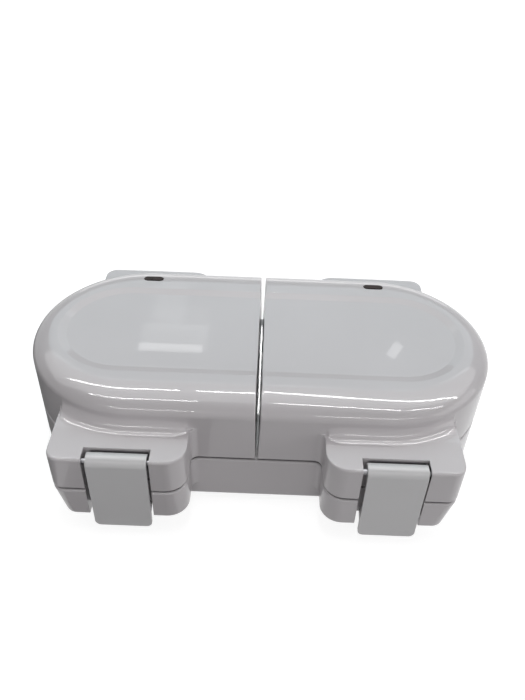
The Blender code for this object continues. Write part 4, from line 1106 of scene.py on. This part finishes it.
def world_light(strength):
    """White where it is seen, and softer as a light."""
    world = bpy.data.worlds.new("studio")
    bpy.context.scene.world = world
    world.use_nodes = True
    tree = world.node_tree
    soft = glow(tree.nodes["Background"], strength)
    white = glow(tree.nodes.new("ShaderNodeBackground"), 1.0)
    by_sight(tree, soft, white, tree.nodes["World Output"].inputs["Surface"])


def matt_look(name, tone):
    return Look(name, Base_Color=(tone, tone, tone, 1.0), Roughness=0.9, Specular_IOR_Level=0.0)


def floor(half_size, tone, strength):
    """Grey paper as a light, and paper with its own glow where it is seen."""
    bm = bmesh.new()
    bmesh.ops.create_grid(bm, x_segments=1, y_segments=1, size=half_size)
    made = linked("floor", mesh_of(bm, "floor"))
    look = matt_look("floor_paper", tone)
    light = glow(look.add("ShaderNodeEmission"), strength)
    paper, total = look.shader.outputs[0], look.add("ShaderNodeAddShader")
    look.link(paper, total.inputs[0])
    look.link(light, total.inputs[1])
    target = look.tree.nodes["Material Output"].inputs["Surface"]
    by_sight(look.tree, paper, total.outputs[0], target)
    made.data.materials.append(look.material)
    made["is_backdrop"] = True


def flag(name, low, high):
    """A dark card on the floor that only reflections show: painted shade in the object's
    reflections of the floor.
    """
    bm = bmesh.new()
    corners = [(low[0], low[1]), (high[0], low[1]), (high[0], high[1]), (low[0], high[1])]
    bm.faces.new([bm.verts.new((x, y, FLAG_LEVEL)) for x, y in corners])
    made = linked(name, mesh_of(bm, name))
    made.data.materials.append(matt_look("reflection_shade_card", 0.14).material)
    made.visible_camera = made.visible_diffuse = made.visible_shadow = False
    made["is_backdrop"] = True


def area_lamp(name, size, watts):
    lamp = bpy.data.lights.new(name, "AREA")
    lamp.shape = "RECTANGLE"
    lamp.size, lamp.size_y = size
    lamp.energy = watts
    return linked(name, lamp)


def panel(name, place, aim, size, watts, gloss=True):
    """An area lamp turned towards a point, its first size along world x."""
    made = area_lamp(name, size, watts)
    made.location = place
    made.rotation_mode = "QUATERNION"
    made.rotation_quaternion = (Vector(aim) - Vector(place)).to_track_quat("-Z", "Y")
    made.visible_glossy = gloss
    return made


def tube(name, start, end, width, strength):
    """A thin lamp between two points, facing the object and seen only in reflections."""
    start, end = Vector(start), Vector(end)
    middle, length = (start + end) / 2, (end - start).length
    long = (end - start).normalized()
    back = (middle - TUBE_AIM).normalized()
    back = (back - long * back.dot(long)).normalized()
    made = area_lamp(name, (length, width), strength * math.pi * length * width)
    made.visible_diffuse = False
    turn = Matrix((long, back.cross(long), back)).transposed().to_4x4()
    made.matrix_world = Matrix.Translation(middle) @ turn


# Tubes and windows of the room: two ends at the lamps' level, width and strength.
TUBES = (
    ((0.0, 0.862), (-0.238, 0.842), 0.085, 38.0),
    ((-0.300, 0.850), (-0.75, 0.840), 0.085, 38.0),
    ((-0.77, 0.830), (-1.43, 0.660), 0.085, 38.0),
    ((0.015, 1.010), (0.39, 0.722), 0.085, 38.0),
    ((0.395, 0.720), (0.95, 0.480), 0.085, 38.0),
    ((0.96, 0.475), (2.35, 0.150), 0.085, 38.0),
    ((-0.215, -0.050), (-1.22, -0.110), 0.07, 38.0),
    ((0.055, 0.040), (0.640, -0.262), 0.07, 38.0),
    ((0.76, -0.240), (1.90, -0.440), 0.07, 38.0),
    ((-1.35, -1.70), (-0.30, -2.05), 0.12, 25.0),
    ((0.25, -1.95), (1.90, -2.15), 0.12, 25.0),
    ((-0.006, 1.90), (-0.006, 2.58), 0.012, 46.0),
    ((-0.62, 2.235), (-0.30, 2.235), 0.04, 4.2),
    ((-0.62, 2.325), (-0.28, 2.325), 0.13, 1.3),
    ((-0.60, 2.48), (-0.28, 2.48), 0.13, 0.5),
    ((0.64, 2.23), (0.70, 2.34), 0.05, 4.0),
    ((-0.50, 2.45), (-0.50, 3.10), 0.16, 0.9),
)

world_light(strength=0.355)
floor(half_size=6.0, tone=0.35, strength=0.84)
# Painted shade: dark cards beside and in front of the object, seen only in its reflections.
flag("left_flag", low=(-0.85, -0.30), high=(-0.186, 0.35))
flag("front_flag", low=(-NOTCH_X - 0.058, -0.34), high=(-NOTCH_X + 0.058, -0.128))
panel("key", (0.0, -0.10, LAMP_LEVEL), (0.0, 0.0, 0.05), size=(0.12, 0.60), watts=4.5, gloss=False)
panel("right_fill", (3.0, -0.7, 0.9), LOOK_AT, size=(2.6, 1.6), watts=26.0)
panel("front_fill", (0.2, -3.0, 1.5), LOOK_AT, size=(2.4, 0.8), watts=20.0, gloss=False)
panel("back_fill", (0.0, 3.0, 0.35), LOOK_AT, size=(3.0, 0.5), watts=9.0)
window = panel("back_window", (0.0, 2.50, LAMP_LEVEL), (0.0, 0.6, 0.1), size=(4.0, 1.2), watts=32.0)
window.data.color = (0.83, 0.97, 1.0)
ceiling = panel("ceiling", (0.0, 0.95, 2.05), (0.0, 0.95, 0.0), size=(6.0, 1.9), watts=92.0)
ceiling.visible_diffuse = False
for number, (start, end, width, strength) in enumerate(TUBES):
    tube(f"tube_{number}", (*start, LAMP_LEVEL), (*end, LAMP_LEVEL), width, strength)

# The camera that took the photograph, as fitted at the chosen length.
CAMERA_PLACE = (0.0015, -0.4410, 0.4573)
CAMERA_TURNS = ((0.011, "Z"), (50.0, "X"), (2.23, "Z"))
CAMERA_LENS = CAMERA_SENSOR = 36.0
camera = linked("camera", bpy.data.cameras.new("camera"))
camera.data.lens, camera.data.sensor_width = CAMERA_LENS, CAMERA_SENSOR
camera.data.sensor_fit = "AUTO"
camera.data.clip_start, camera.data.clip_end = 0.01, 20.0
turn = Matrix()
for degrees, axis in CAMERA_TURNS:
    turn = turn @ Matrix.Rotation(math.radians(degrees), 4, axis)
camera.matrix_world = Matrix.Translation(CAMERA_PLACE) @ turn
bpy.context.scene.camera = camera
bpy.context.scene.view_settings.view_transform = "Standard"

low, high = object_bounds()
